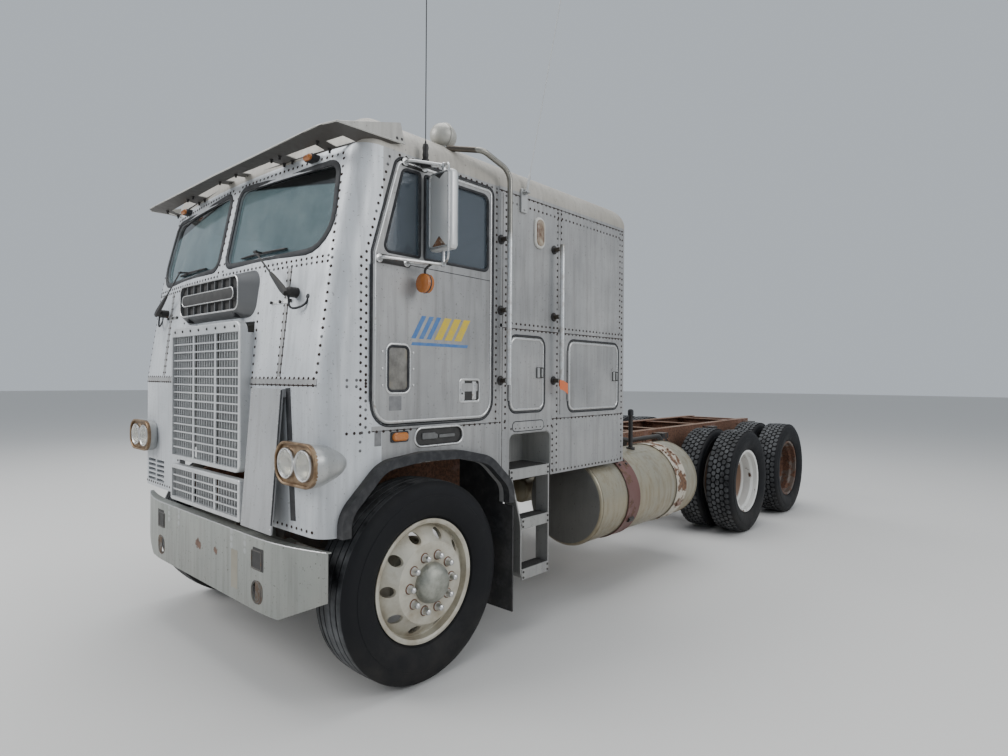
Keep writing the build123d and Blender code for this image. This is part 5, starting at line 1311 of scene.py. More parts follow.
lamp_ring = [
    (-0.010, 0.0735), (0.0, 0.0735), (0.006, 0.0705), (0.007, 0.0665), (0.002, 0.0625), (-0.010, 0.0625),
]
lamp_bowl = [
    (-0.004, 0.0640), (-0.022, 0.0540), (-0.036, 0.0300), (-0.040, 0.0040), (-0.044, 0.0040),
    (-0.040, 0.0320), (-0.024, 0.0580), (-0.006, 0.0680),
]
lamp_glass = [(-0.002, 0.0632), (0.003, 0.0625), (0.008, 0.0500), (0.0115, 0.0280), (0.0125, 0)]
pod_face = pod_rows[0]
for side_name, side, outward in truck_sides:
    form = bmesh.new()
    rings = []
    for row_aft, middle, half_across, half_up in smoothed(pod_rows, 5):
        outline = plate_ring(middle, lamp_height, half_across, half_up, 0.9 * half_up, 8)
        rings.append([under_skin(Vector((side * spot.x, aft(row_aft), spot.y)), side) for spot in outline])
    add_skin(form, rings, close_first=False)
    new_piece(
        "lamp_pod_" + side_name, form, pod_silver, "cab", ("lamps",) if side > 0 else (),
        50,
    )
    front = on_front(pod_face[0])
    form = bmesh.new()
    outline = plate_ring(
        side * pod_face[1], lamp_height, pod_face[2] - 0.006, pod_face[3] - 0.006, 0.0845, 10,
    )
    rim_section = [
        (-0.0065, -0.0125), (-0.0065, 0.003), (-0.003, 0.0065), (0.003, 0.0065), (0.0065, 0.003),
        (0.0065, -0.0125),
    ]
    front_moulding(form, outline, front, rim_section)
    edges = []
    holes = [
        [
            (side * place_x + 0.068 * cos(tau * i / 40), lamp_height + 0.068 * sin(tau * i / 40))
            for i in range(40)
        ]
        for place_x in lamp_places
    ]
    plate = [
        (spot.x, spot.y)
        for spot in plate_ring(
            side * pod_face[1], lamp_height, pod_face[2] - 0.010, pod_face[3] - 0.010, 0.081, 10,
        )
    ]
    for loop in [plate] + holes:
        corners = [form.verts.new(front(across, up, -0.009)) for across, up in loop]
        edges += [
            form.edges.new((corners[i], corners[(i + 1) % len(corners)]))
            for i in range(len(corners))
        ]
    bmesh.ops.triangle_fill(form, use_beauty=True, edges=edges)
    new_piece("lamp_bezel_" + side_name, form, lamp_bronze, "cab", ())
    rims, bowls, glasses = bmesh.new(), bmesh.new(), bmesh.new()
    for place_x in lamp_places:
        base = front(side * place_x, lamp_height, 0)
        add_turned_ring(rims, base, forward, lamp_ring, 40)
        add_turned_ring(bowls, base, forward, lamp_bowl, 40)
        add_turned_cap(
            bowls, base + Vector((0, 0.030, 0)), forward,
            [(-0.008, 0.012), (0.004, 0.012), (0.009, 0.006), (0.010, 0)], 16,
        )
        add_turned_cap(glasses, base, forward, lamp_glass, 40)
    new_piece("lamp_rings_" + side_name, rims, bright_steel, "cab", ())
    new_piece("lamp_bowls_" + side_name, bowls, lamp_mirror, "cab", ())
    new_piece("lamp_lenses_" + side_name, glasses, lamp_lens, "cab", ())

# Small lamps: amber markers under the visor, a brown pill-shaped marker high on the sleeper and an
# amber lamp over each front wheel, screwed on through rubber or white bases.
for side_name, side, outward in truck_sides:
    wall = on_side(side)
    front = on_front(-0.502)
    form = bmesh.new()
    add_plate(
        form, (side * 0.785, 2.704), (0.038, 0.018), 0.014, [(0, -0.060), (0, -0.007), (0.002, -0.005)],
        front,
    )
    add_plate(form, (-0.192, 1.302), (0.055, 0.027), 0.010, [(0, 0), (0, 0.006), (0.002, 0.008)], wall)
    new_piece("lamp_bases_" + side_name, form, black_rubber, "cab", ())
    form = bmesh.new()
    add_plate(
        form, (side * 0.785, 2.704), (0.036, 0.016), 0.0165,
        [(0, -0.006), (0.001, 0.002), (0.006, 0.008), (0.012, 0.010)], front,
    )
    add_plate(
        form, (-0.192, 1.302), (0.050, 0.022), 0.0215,
        [(0, 0.006), (0.001, 0.015), (0.006, 0.0205), (0.012, 0.022)], wall,
    )
    new_piece("amber_lamps_" + side_name, form, amber_lens, "cab")
    plate_piece("marker_bezel_" + side_name, bezel_white, "cab", wall, [
        ((0.916, 2.521), (0.052, 0.098), 0.048, [(0, 0), (0, 0.010), (0.004, 0.014), (0.010, 0.014)]),
    ])
    plate_piece("marker_lens_" + side_name, brown_lens, "cab", wall, [
        (
            (0.916, 2.521), (0.039, 0.085), 0.037,
            [(0, 0.008), (0.002, 0.0175), (0.010, 0.0215), (0.020, 0.0225)],
        ),
    ])

# Wipers: a sprung arm under a tapered cover from a boss beside each screen, with a bridged blade
# lying along the glass and a rubber hose looped to the washer.
wiper_black = rusted_finish("wiper_black", (0.018, 0.016, 0.015, 1), (0.10, 0.05, 0.03, 1), 0.3, 12.0, 0.2)
screen_skin = skin_of("windscreens")


def add_tapered_bar(form, stops, up):
    """A bar whose rings are (place, half width, half thickness) along it."""
    rings = []
    for index, (place, half_width, half_gauge) in enumerate(stops):
        ahead_place = stops[min(index + 1, len(stops) - 1)][0]
        heading = (ahead_place - stops[max(index - 1, 0)][0]).normalized()
        across = heading.cross(up).normalized()
        rings.append([
            place + across * (a * half_width) + up * (b * half_gauge)
            for a, b in ((-1, -0.6), (-0.6, 1), (0.6, 1), (1, -0.6), (0.7, -1), (-0.7, -1))
        ])
    add_skin(form, rings)


def add_tube(form, points, radius, steps=10):
    """A round tube along points, with its ends closed."""
    rings = []
    up = None
    for index, point in enumerate(points):
        heading = (points[min(index + 1, len(points) - 1)] - points[max(index - 1, 0)]).normalized()
        if up is None:
            up = heading.orthogonal().normalized()
        up = (up - heading * up.dot(heading)).normalized()
        across = heading.cross(up)
        rings.append([
            point + (up * cos(tau * i / steps) + across * sin(tau * i / steps)) * radius
            for i in range(steps)
        ])
    add_skin(form, rings)


def bent(corners, bend, steps=6):
    """A run of corners, each inner one rounded over a length of bend."""
    run = [Vector(corners[0])]
    for before, here, after in zip(corners, corners[1:], corners[2:]):
        before, here, after = Vector(before), Vector(here), Vector(after)
        start = here + (before - here).normalized() * min(bend, (before - here).length / 2)
        stop = here + (after - here).normalized() * min(bend, (after - here).length / 2)
        for step in range(steps + 1):
            t = step / steps
            run.append(start.lerp(here, t).lerp(here.lerp(stop, t), t))
    run.append(Vector(corners[-1]))
    return run


def screen_front(place_x, height):
    """Where the glass is met from the front."""
    place, _, _, _ = screen_skin.ray_cast(Vector((place_x, ahead_of_nose, height)), rearward, 0.6)
    return place


for side_name, side, outward in truck_sides:
    form = bmesh.new()
    pivot = Vector((side * 0.832, aft(-0.650), 2.010))
    add_turned_cap(
        form, pivot + Vector((0, 0.07, 0)), forward,
        [(0, 0.026), (0.045, 0.026), (0.052, 0.021), (0.062, 0.020), (0.066, 0.012), (0.068, 0)], 20,
    )
    arm_end = Vector((side * 0.500, aft(-0.630), 2.246))
    add_tapered_bar(form, [
        (pivot.lerp(arm_end, -0.05), 0.016, 0.008), (pivot.lerp(arm_end, 0.04), 0.021, 0.010),
        (pivot.lerp(arm_end, 0.30), 0.015, 0.008), (pivot.lerp(arm_end, 0.44), 0.009, 0.006),
        (pivot.lerp(arm_end, 0.46), 0.005, 0.003), (arm_end, 0.005, 0.003),
    ], forward)
    spine = []
    for step in range(12):
        place_x = side * (0.245 + 0.430 * step / 11)
        glass = screen_front(place_x, 2.252)
        arch = 0.010 * sin(pi * step / 11)
        spine.append(glass + Vector((0, -0.016 - arch, -0.002)))
    add_tube(form, spine, 0.0045, 8)
    for step in (0, 3, 8, 11):
        here = spine[step]
        glass = screen_front(here.x, 2.252)
        claw = [(here + Vector((across, 0.002, 0)), 0.006, 0.003) for across in (-0.011, 0.011)]
        add_tapered_bar(form, claw, skyward)
        add_tapered_bar(
            form, [(here, 0.0045, 0.004), (glass + Vector((0, -0.009, -0.002)), 0.0045, 0.004)], skyward,
        )
    clip = [(arm_end + Vector((across, 0, 0)), 0.008, 0.005) for across in (-0.014, 0.014)]
    add_tapered_bar(form, clip, forward)
    link = spine[6]
    add_tapered_bar(form, [(arm_end, 0.007, 0.005), (link, 0.006, 0.004)], skyward)
    new_piece(
        "wiper_arm_" + side_name, form, wiper_black, "cab", ("wipers",) if side > 0 else (),
    )
    form = bmesh.new()
    rubber_line = [screen_front(side * (0.240 + 0.440 * step / 11), 2.252) for step in range(12)]
    run_moulding(
        form, [spot + Vector((0, -0.007, -0.002)) for spot in rubber_line], [forward] * 12,
        [
            (-0.004, 0.003), (0.004, 0.003), (0.0035, -0.001),
            (0.0008, -0.006), (-0.0008, -0.006), (-0.0035, -0.001),
        ],
        False,
    )
    new_piece("wiper_rubber_" + side_name, form, black_rubber, "cab", ())
    form = bmesh.new()
    hole = front_seat(cab_skin, side * 0.930, 1.985, 0.6)
    loop = [
        pivot + Vector((side * 0.010, 0.020, -0.018)), pivot + Vector((side * 0.020, 0.018, -0.090)),
        hole[0] + Vector((0, -0.014, -0.045)), hole[0] + Vector((0, 0.004, 0)),
    ]
    add_tube(form, bent(loop, 0.05), 0.0055)
    add_turned_ring(
        form, hole[0], hole[1], [(-0.001, 0.006), (-0.001, 0.013), (0.003, 0.012), (0.004, 0.006)], 16,
    )
    new_piece("washer_hose_" + side_name, form, black_rubber, "cab", ())
    form = bmesh.new()
    bar_seats = [
        front_seat(cab_skin, side * place_x, 1.974, 0.6)
        for place_x in (0.62, 0.66, 0.70, 0.74, 0.79)
    ]
    mould_on(form, bar_seats, flat_bead(0.020, 0.004))
    new_piece("washer_bar_" + side_name, form, bright_steel, "cab", ())
    form = bmesh.new()
    for seat in (bar_seats[0], bar_seats[2], bar_seats[4]):
        add_turned_cap(
            form, seat[0], seat[1], [(0.003, 0.009), (0.010, 0.009), (0.012, 0.006), (0.012, 0)], 6,
        )
    new_piece("washer_bolts_" + side_name, form, wiper_black, "cab", ())

# Mirrors: a polished housing with a framed face, carried on looped round-bar brackets bolted to
# the door, with an amber lamp hung under it and, on the left, a whip aerial on its spring.
mirror_face = mottled_finish(
    "mirror_face", 0.55, 0.28, (6.0,), (0.60, 0.61, 0.61, 1), (0.74, 0.74, 0.72, 1), gloss=(-0.2, 1.6),
)
mirror_glass = mottled_finish(
    "mirror_glass", 1.0, 0.03, (7.0,), (0.80, 0.82, 0.82, 1), (0.62, 0.65, 0.66, 1),
)
strap_cream = rusted_finish("strap_cream", (0.50, 0.46, 0.38, 1), (0.24, 0.12, 0.06, 1), 0.55, 8.0, 0.2)
mirror_x = 1.256
mirror_aft = -0.004
mirror_middle = 2.452
bracket_feet = [(2.688, -0.104, 0.062), (2.180, -0.238, 0.085)]  # height, foot aft, half spread
turn_lamp = (1.216, -0.092, 2.076)
for side_name, side, outward in truck_sides:
    body = "door_" + side_name
    form = bmesh.new()
    rings = []
    upper_rim = [(0.020, 0.2025), (0.008, 0.1995), (0.002, 0.192), (0.0, 0.180)]
    for drawn_in, drop in upper_rim + [(inward, -rise) for inward, rise in reversed(upper_rim)]:
        outline = plate_ring(side * mirror_x, 0, 0.084 - drawn_in, 0.031 - drawn_in, 0.0235 - drawn_in)
        rings.append([Vector((spot.x, aft(mirror_aft) + spot.y, mirror_middle + drop)) for spot in outline])
    add_skin(form, rings)
    new_piece(
        "mirror_housing_" + side_name, form, mirror_face, body, ("mirror_" + side_name,),
    )
    form = bmesh.new()
    front = on_front(mirror_aft - 0.031)
    outline = plate_ring(side * mirror_x, mirror_middle, 0.074, 0.190, 0.022, 8)
    front_moulding(form, outline, front, round_bead(0.010, 0.004))
    post_low, post_high = bracket_feet[1][0], bracket_feet[0][0]
    middle_y = aft(mirror_aft)
    stubs = [(post_low - 0.010, mirror_middle - 0.190), (mirror_middle + 0.190, post_high + 0.010)]
    for stub in stubs:
        add_tube(form, [Vector((side * mirror_x, middle_y, height)) for height in stub], 0.009)
    guard_x = side * (mirror_x + 0.077)
    add_tube(form, bent([
        (side * mirror_x, middle_y, post_high), (guard_x, middle_y - 0.038, post_high - 0.012),
        (guard_x, middle_y - 0.038, post_low + 0.012), (side * mirror_x, middle_y, post_low),
    ], 0.030), 0.0065)
    for height, foot_aft, spread in bracket_feet:
        skin_x = side * (cab_side_x + 0.008)
        for end in (-1, 1):
            foot = Vector((skin_x, aft(foot_aft + end * spread), height))
            tip = Vector((side * mirror_x, middle_y, height))
            add_tube(form, bent([foot, foot + Vector((side * 0.028, 0, 0)), tip], 0.03), 0.008)
            add_turned_cap(
                form, foot - Vector((side * 0.0075, 0, 0)), outward,
                [(0, 0.021), (0.005, 0.021), (0.007, 0.016), (0.007, 0)], 20,
            )
            for lift in (-1, 1):
                bolt = foot + Vector((-side * 0.003, 0, lift * 0.0145))
                add_turned_cap(form, bolt, outward, [(0, 0.0045), (0.004, 0.0042), (0.005, 0)], 6)
        add_turned_cap(
            form, Vector((side * mirror_x, middle_y, height - 0.012)), skyward,
            [(0, 0.014), (0.020, 0.014), (0.024, 0.010), (0.025, 0)], 6,
        )
    new_piece("mirror_brackets_" + side_name, form, bright_steel, body, ())
    # Two thin triangles on the housing's polished face, dark above and tan below, are painted reflections.
    for name, low_up, high_up, half, finish in (
        ("upper", 2.612, 2.638, 0.036, dark_bowl),
        ("lower", 2.320, 2.270, 0.050, strap_cream),
    ):
        form = bmesh.new()
        wedge = [
            (side * mirror_x - half, high_up), (side * mirror_x + half, high_up), (side * mirror_x, low_up),
        ]
        add_skin(form, [[front(across, up, out) for across, up in wedge] for out in (0.0, 0.0012)])
        new_piece("mirror_wedge_" + name + "_" + side_name, form, finish, body)
    form = bmesh.new()
    outline = [(0.0, -0.0305), (0.0, -0.0325), (0.002, -0.0335)]
    rear = on_front(mirror_aft)
    add_plate(form, (side * mirror_x, mirror_middle), (0.073, 0.190), 0.020, outline, rear)
    new_piece("mirror_pane_" + side_name, form, mirror_glass, body, ())
    form = bmesh.new()
    lamp_middle = Vector((side * turn_lamp[0], aft(turn_lamp[1]), turn_lamp[2]))
    lens_profile = [(0.003, 0.0492), (0.020, 0.0482), (0.027, 0.0400), (0.031, 0.0240), (0.032, 0)]
    add_turned_cap(form, lamp_middle, forward, lens_profile, 32)
    add_turned_cap(form, lamp_middle, -forward, lens_profile, 32)
    new_piece("turn_lenses_" + side_name, form, amber_lens, body)
    form = bmesh.new()
    add_turned_ring(
        form, lamp_middle, forward,
        [
            (-0.004, 0.044), (-0.004, 0.0495), (-0.002, 0.0505), (0.002, 0.0505), (0.004, 0.0495),
            (0.004, 0.044),
        ],
        32,
    )
    hanger = [
        lamp_middle + Vector((0, 0, 0.048)), Vector((lamp_middle.x, lamp_middle.y, post_low - 0.03)),
        Vector((side * (mirror_x - 0.02), aft(-0.060), post_low)),
    ]
    add_tube(form, bent(hanger, 0.02), 0.0065)
    new_piece("turn_lamp_" + side_name, form, wiper_black, body, ())
    form = bmesh.new()
    for height, foot_aft, spread in bracket_feet:
        add_plate(
            form, (foot_aft, height), (spread + 0.023, 0.022), 0.010,
            [(0, 0.0), (0, 0.004), (0.001, 0.005)], on_side(side),
        )
    if side > 0:
        whip_foot = Vector((1.1833, aft(-0.066), 2.688))
        add_turned_cap(
            form, whip_foot, skyward,
            [
                (-0.006, 0.030), (0.004, 0.030), (0.006, 0.026), (0.012, 0.019), (0.030, 0.018),
                (0.032, 0.012), (0.032, 0),
            ],
            20,
        )
        coil = [(0.034 + 0.0725 * i / 4, 0.0165 if i % 2 else 0.0135) for i in range(0, 5)]
        add_turned_cap(form, whip_foot, skyward, coil + [(0.110, 0.006), (0.122, 0.0045), (0.122, 0)], 16)
        add_tube(
            form, [whip_foot + Vector((0, 0, 0.11)), whip_foot + Vector((0, 0, 4.03 - 2.688))], 0.0028, 8,
        )
    new_piece("bracket_plates_" + side_name, form, wiper_black, body, ())

# Roof horns: cream egg-shaped shells on short stalks over each door, and a second whip aerial on
# a plate on the left of the sleeper.
form = bmesh.new()
for side_name, side, outward in truck_sides:
    middle = Vector((side * 1.030, aft(0.195), 2.952))
    egg = []
    for step in range(15):
        angle = pi * step / 14
        egg.append((-0.078 * cos(angle), 0.071 * sin(angle) ** 0.9 if 0 < step < 14 else 0.0))
    egg = [(height, radius) for height, radius in egg if radius > 0]
    add_turned_cap(form, middle, forward, [(egg[0][0] - 0.001, 0.006)] + egg + [(0.079, 0)], 32)
    add_turned_ring(
        form, middle, forward, [(-0.006, 0.0705), (-0.006, 0.0745), (0.006, 0.0745), (0.006, 0.0705)], 32,
    )
horn_cream = mottled_finish(
    "horn_cream", 0.25, 0.3, (11.0,), (0.36, 0.35, 0.31, 1), (0.52, 0.51, 0.47, 1), gloss=(-0.2, 1.6),
)
new_piece("roof_horns", form, horn_cream, "cab", ("roof_fittings",))
form = bmesh.new()
roof_skin = skin_of("cab_roof")
for side_name, side, outward in truck_sides:
    seat, _, _, _ = roof_skin.ray_cast(Vector((side * 1.030, aft(0.195), 3.2)), Vector((0, 0, -1)), 1.0)
    add_turned_cap(
        form, seat, skyward,
        [
            (-0.016, 0.034), (0.004, 0.034), (0.010, 0.028), (0.016, 0.018), (2.900 - seat.z, 0.016),
            (2.900 - seat.z, 0),
        ],
        24,
    )
add_plate(
    form, (0.757, 2.690), (0.030, 0.073), 0.010, [(0, 0.0003), (0, 0.011), (0.002, 0.014)], on_side(1),
)
add_plate(form, (0.757, 2.740), (0.020, 0.005), 0.004, [(0, 0.0), (0, 0.046), (0.001, 0.047)], on_side(1))
for lift in (2.635, 2.745):
    add_turned_cap(
        form, Vector((cab_side_x + 0.013, aft(0.757), lift)), Vector((1, 0, 0)),
        [(0, 0.007), (0.005, 0.007), (0.006, 0.004), (0.006, 0)], 6,
    )
whip_way = Vector((0, tan(radians(14)), 1)).normalized()
whip_foot = Vector((1.1733, aft(0.757), 2.740))
add_turned_cap(
    form, whip_foot, whip_way,
    [(-0.01, 0.010), (0.02, 0.010), (0.03, 0.0085), (0.10, 0.0085), (0.12, 0.004), (0.12, 0)], 14,
)
add_tube(
    form, [whip_foot + whip_way * 0.11, whip_foot + whip_way * (1.460 / whip_way.z - 0.004)], 0.0028, 8,
)
new_piece("roof_fitting_plates", form, dull_alloy, "cab", ())

# Visor: one broad steel sheet, dull beige, with painted shade in dark brown-grey on its underside, slotted
# near the roof, with a pale rolled edge, a wing up each end and bolts on both sides of the slots.
def painted_shade_under_visor(tree):
    """Painted shade in dark brown-grey on the underside of the sheet."""
    facing = axis_of(tree, add_node(tree, "ShaderNodeNewGeometry").outputs["Normal"], "Z")
    return ramped(tree, facing, -0.25, -0.45), (0.085, 0.077, 0.070, 1)


visor_finish = weathered_finish(
    "visor_paint", 0.2, (0.37, 0.36, 0.33, 1), (0.48, 0.47, 0.44, 1), dark=painted_shade_under_visor,
    Streaks=0.5, Specks=0.6, Grime_Height=1.0, Dents=0.05,
)


def between(rows, value):
    """A height read off rows of (value, height) by straight lines."""
    for (low, first), (high, second) in zip(rows, rows[1:]):
        if value <= high:
            return first + (second - first) * (value - low) / (high - low)
    return rows[-1][1]


# Rows of (distance from the centreline, value)
visor_tip_aft = [(0, -0.640), (1.075, -0.618), (1.165, -0.577)]
visor_tip_height = [(0, 2.748), (1.075, 2.756), (1.165, 2.764)]
visor_root_aft = [(0, -0.470), (0.950, -0.470), (1.090, -0.400), (1.165, -0.187)]
visor_root_height = [
    (0, 2.768), (0.150, 2.766), (0.630, 2.740), (0.950, 2.714), (1.090, 2.738), (1.165, 2.767),
]


def on_visor(across, along):
    """A point of the sheet's upper face; along runs from its front edge to its root."""
    reach = abs(across)
    back = between(visor_tip_aft, reach) * (1 - along) + between(visor_root_aft, reach) * along
    up = between(visor_tip_height, reach) * (1 - along) + between(visor_root_height, reach) * along
    return Vector((across, aft(back), up))


visor_slots = [(-0.065, 0.065), (0.144, 0.473), (0.634, 0.912), (0.985, 1.080)]
columns = [
    0.0, 0.065, 0.144, 0.230, 0.310, 0.390, 0.473, 0.550, 0.634, 0.725, 0.820, 0.912, 0.950, 0.985, 1.035,
    1.080, 1.125, 1.165,
]
columns = [-across for across in reversed(columns[1:])] + columns
stations = [0.0, 0.15, 0.30, 0.45, 0.60, 0.93, 1.0]
form = bmesh.new()
grid = [[form.verts.new(on_visor(across, along)) for along in stations] for across in columns]
for column in range(len(columns) - 1):
    reach = abs(columns[column] + columns[column + 1]) / 2
    slotted = any(low < reach < high for low, high in visor_slots)
    for station in range(len(stations) - 1):
        if slotted and stations[station] == 0.60:
            continue
        first, second = grid[column], grid[column + 1]
        form.faces.new((first[station], second[station], second[station + 1], first[station + 1]))
for end in (0, -1):
    across = columns[end]
    crest = form.verts.new(Vector((across, aft(-0.217), 2.863)))
    form.faces.new([grid[end][station] for station in range(len(stations))] + [crest])
bmesh.ops.recalc_face_normals(form, faces=form.faces)
bmesh.ops.solidify(form, geom=form.faces[:], thickness=0.005)
new_piece("visor_sheet", form, visor_finish, "cab", ("visor",))
form = bmesh.new()
lip_run = [on_visor(-1.165 + 2.330 * step / 40, 0.0) for step in range(41)]
add_tube(form, [spot + Vector((0, 0.003, -0.002)) for spot in lip_run], 0.0040, 8)
for side_name, side, outward in truck_sides:
    wing_edge = [
        Vector((side * 1.165, aft(back), up))
        for back, up in ((-0.577, 2.762), (-0.380, 2.7645), (-0.187, 2.767))
    ]
    add_tube(form, wing_edge, 0.0055, 8)
new_piece("visor_lip", form, bezel_white, "cab", ())
form = bmesh.new()
for side_name, side, outward in truck_sides:
    for back, up in ((-0.238, 2.781), (-0.208, 2.783)):
        add_turned_cap(
            form, Vector((side * 1.1645, aft(back), up)), outward,
            [(0, 0.009), (0.005, 0.009), (0.007, 0.006), (0.007, 0)], 6,
        )
    for across in (0.105, 0.510, 0.595, 0.950):
        for along in (0.50, 0.95):
            add_turned_cap(
                form, on_visor(side * across, along) + Vector((0, 0, -0.002)), Vector((0, 0, -1)),
                [(0, 0.011), (0.007, 0.010), (0.009, 0.006), (0.022, 0.006), (0.022, 0)], 6,
            )
new_piece("visor_bolts", form, wiper_black, "cab", ())

# Mudguards: black rubber flares round the arches and flaps hung behind the front wheels.
dress(black_rubber, "mudguards")

# Bumper: thick pressed aluminium, grey and chalky, with a bright worn top edge, low dome-headed bolts, two
# rust spots, a beige stain and dark plates over the holes; the plate on each square hole reaches past the
# hole and is painted shade.
bumper_paint = weathered_finish(
    "bumper_paint", 0.4, (0.27, 0.285, 0.265, 1), (0.38, 0.39, 0.36, 1), rusting=0.16,
    spots=((-0.066, 0.634, 0.085), (0.155, 0.643, 0.075)),
    Streaks=0.5, Specks=0.8, Grime_Height=0.9, Gloss=0.05, Dents=0.15,
)
dress(bumper_paint, "bumper")
bumper_skin = skin_of("bumper")
hole_mesh = rusted_finish("hole_mesh", (0.05, 0.045, 0.038, 1), (0.12, 0.08, 0.05, 1), 0.6, 30.0, 0.3)
stain_beige = mottled_finish("stain_beige", 0.2, 0.6, (9.0,), (0.22, 0.20, 0.155, 1), (0.33, 0.31, 0.26, 1))
form = bmesh.new()
stain_seats = [front_seat(bumper_skin, 0.392, 0.690 - 0.020 * step) for step in range(11)]
mould_on(form, stain_seats, flat_bead(0.075, 0.0006))
new_piece("bumper_stain", form, stain_beige, "chassis")
bolts, rims = bmesh.new(), bmesh.new()
for side_name, side, outward in truck_sides:
    for across in (0.357, 0.510):
        for height in (0.780, 0.744, 0.706):
            seat = front_seat(bumper_skin, side * across, height)
            if seat:
                add_turned_cap(
                    bolts, seat[0], seat[1],
                    [(-0.001, 0.0155), (0.0004, 0.0155), (0.0004, 0.0125), (0.0012, 0.0085), (0.0015, 0)],
                    14,
                )
    square_hole = plate_ring(side * 0.632, 0.684, 0.049, 0.045, 0.010)
    oval_hole = plate_ring(side * 0.632, 0.524, 0.045, 0.055, 0.044, 10)
    for outline in (square_hole, oval_hole):
        seats = [front_seat(bumper_skin, spot.x, spot.y) for spot in outline]
        points = [seat[0] for seat in seats if seat]
        run_moulding(rims, points, [forward] * len(points), round_bead(0.008, 0.003), True)
# The dark plate on each square hole reaches past the hole and is painted shade of its inside.
hole_finishes = {"square": dark_bowl, "oval": hole_mesh}
for name, holes in (("square", (0.052, 0.056, 0.006, 0.690)), ("oval", (0.047, 0.058, 0.045, 0.526))):
    form = bmesh.new()
    for side_name, side, outward in truck_sides:
        outline = plate_ring(side * 0.650, holes[3], holes[0], holes[1], holes[2], 8)
        seats = [front_seat(bumper_skin, spot.x, spot.y) for spot in outline]
        points = [seat[0] for seat in seats if seat]
        add_skin(form, [[point + forward * out for point in points] for out in (-0.001, 0.0012)])
    new_piece("bumper_hole_back_" + name, form, hole_finishes[name], "chassis")
new_piece("bumper_bolts", bolts, dull_alloy, "chassis", ())
new_piece("bumper_hole_rims", rims, chassis_black, "chassis", ())
form = bmesh.new()
top_edge = []
for step in range(61):
    across = -1.118 + 2.236 * step / 60
    seat = front_seat(bumper_skin, across, 0.780)
    if seat:
        top_edge.append(Vector((seat[0].x, seat[0].y + 0.0015, 0.7935)))
add_tube(form, top_edge, 0.0032, 8)
new_piece("bumper_top_edge", form, bright_steel, "chassis", ())

# Ladders: folded and cast aluminium with black grit on the treads, a well above them and small
# bolts at each joint.
step_alloy = weathered_finish(
    "step_alloy", 0.5, (0.36, 0.36, 0.35, 1), (0.48, 0.48, 0.46, 1), rusting=0.12,
    Streaks=0.5, Specks=0.7, Grime_Height=1.3, Dents=0.0,
)
label_teal = mottled_finish("label_teal", 0.0, 0.5, (30.0,), (0.10, 0.26, 0.23, 1), (0.22, 0.38, 0.33, 1))
grit = mottled_finish(
    "tread_grit", 0.0, 0.95, (420.0, 4.0, 0.5), (0.012, 0.012, 0.012, 1), (0.07, 0.065, 0.06, 1),
    (0.4, 0.7), relief=0.0015,
)
ladder_face = 1.139
ladder_depth = 0.100
ladder_loop = bent(
    [(0.668, 1.010), (0.766, 0.690), (0.766, 0.352), (1.040, 0.362), (1.040, 1.010)], 0.055, 5,
)
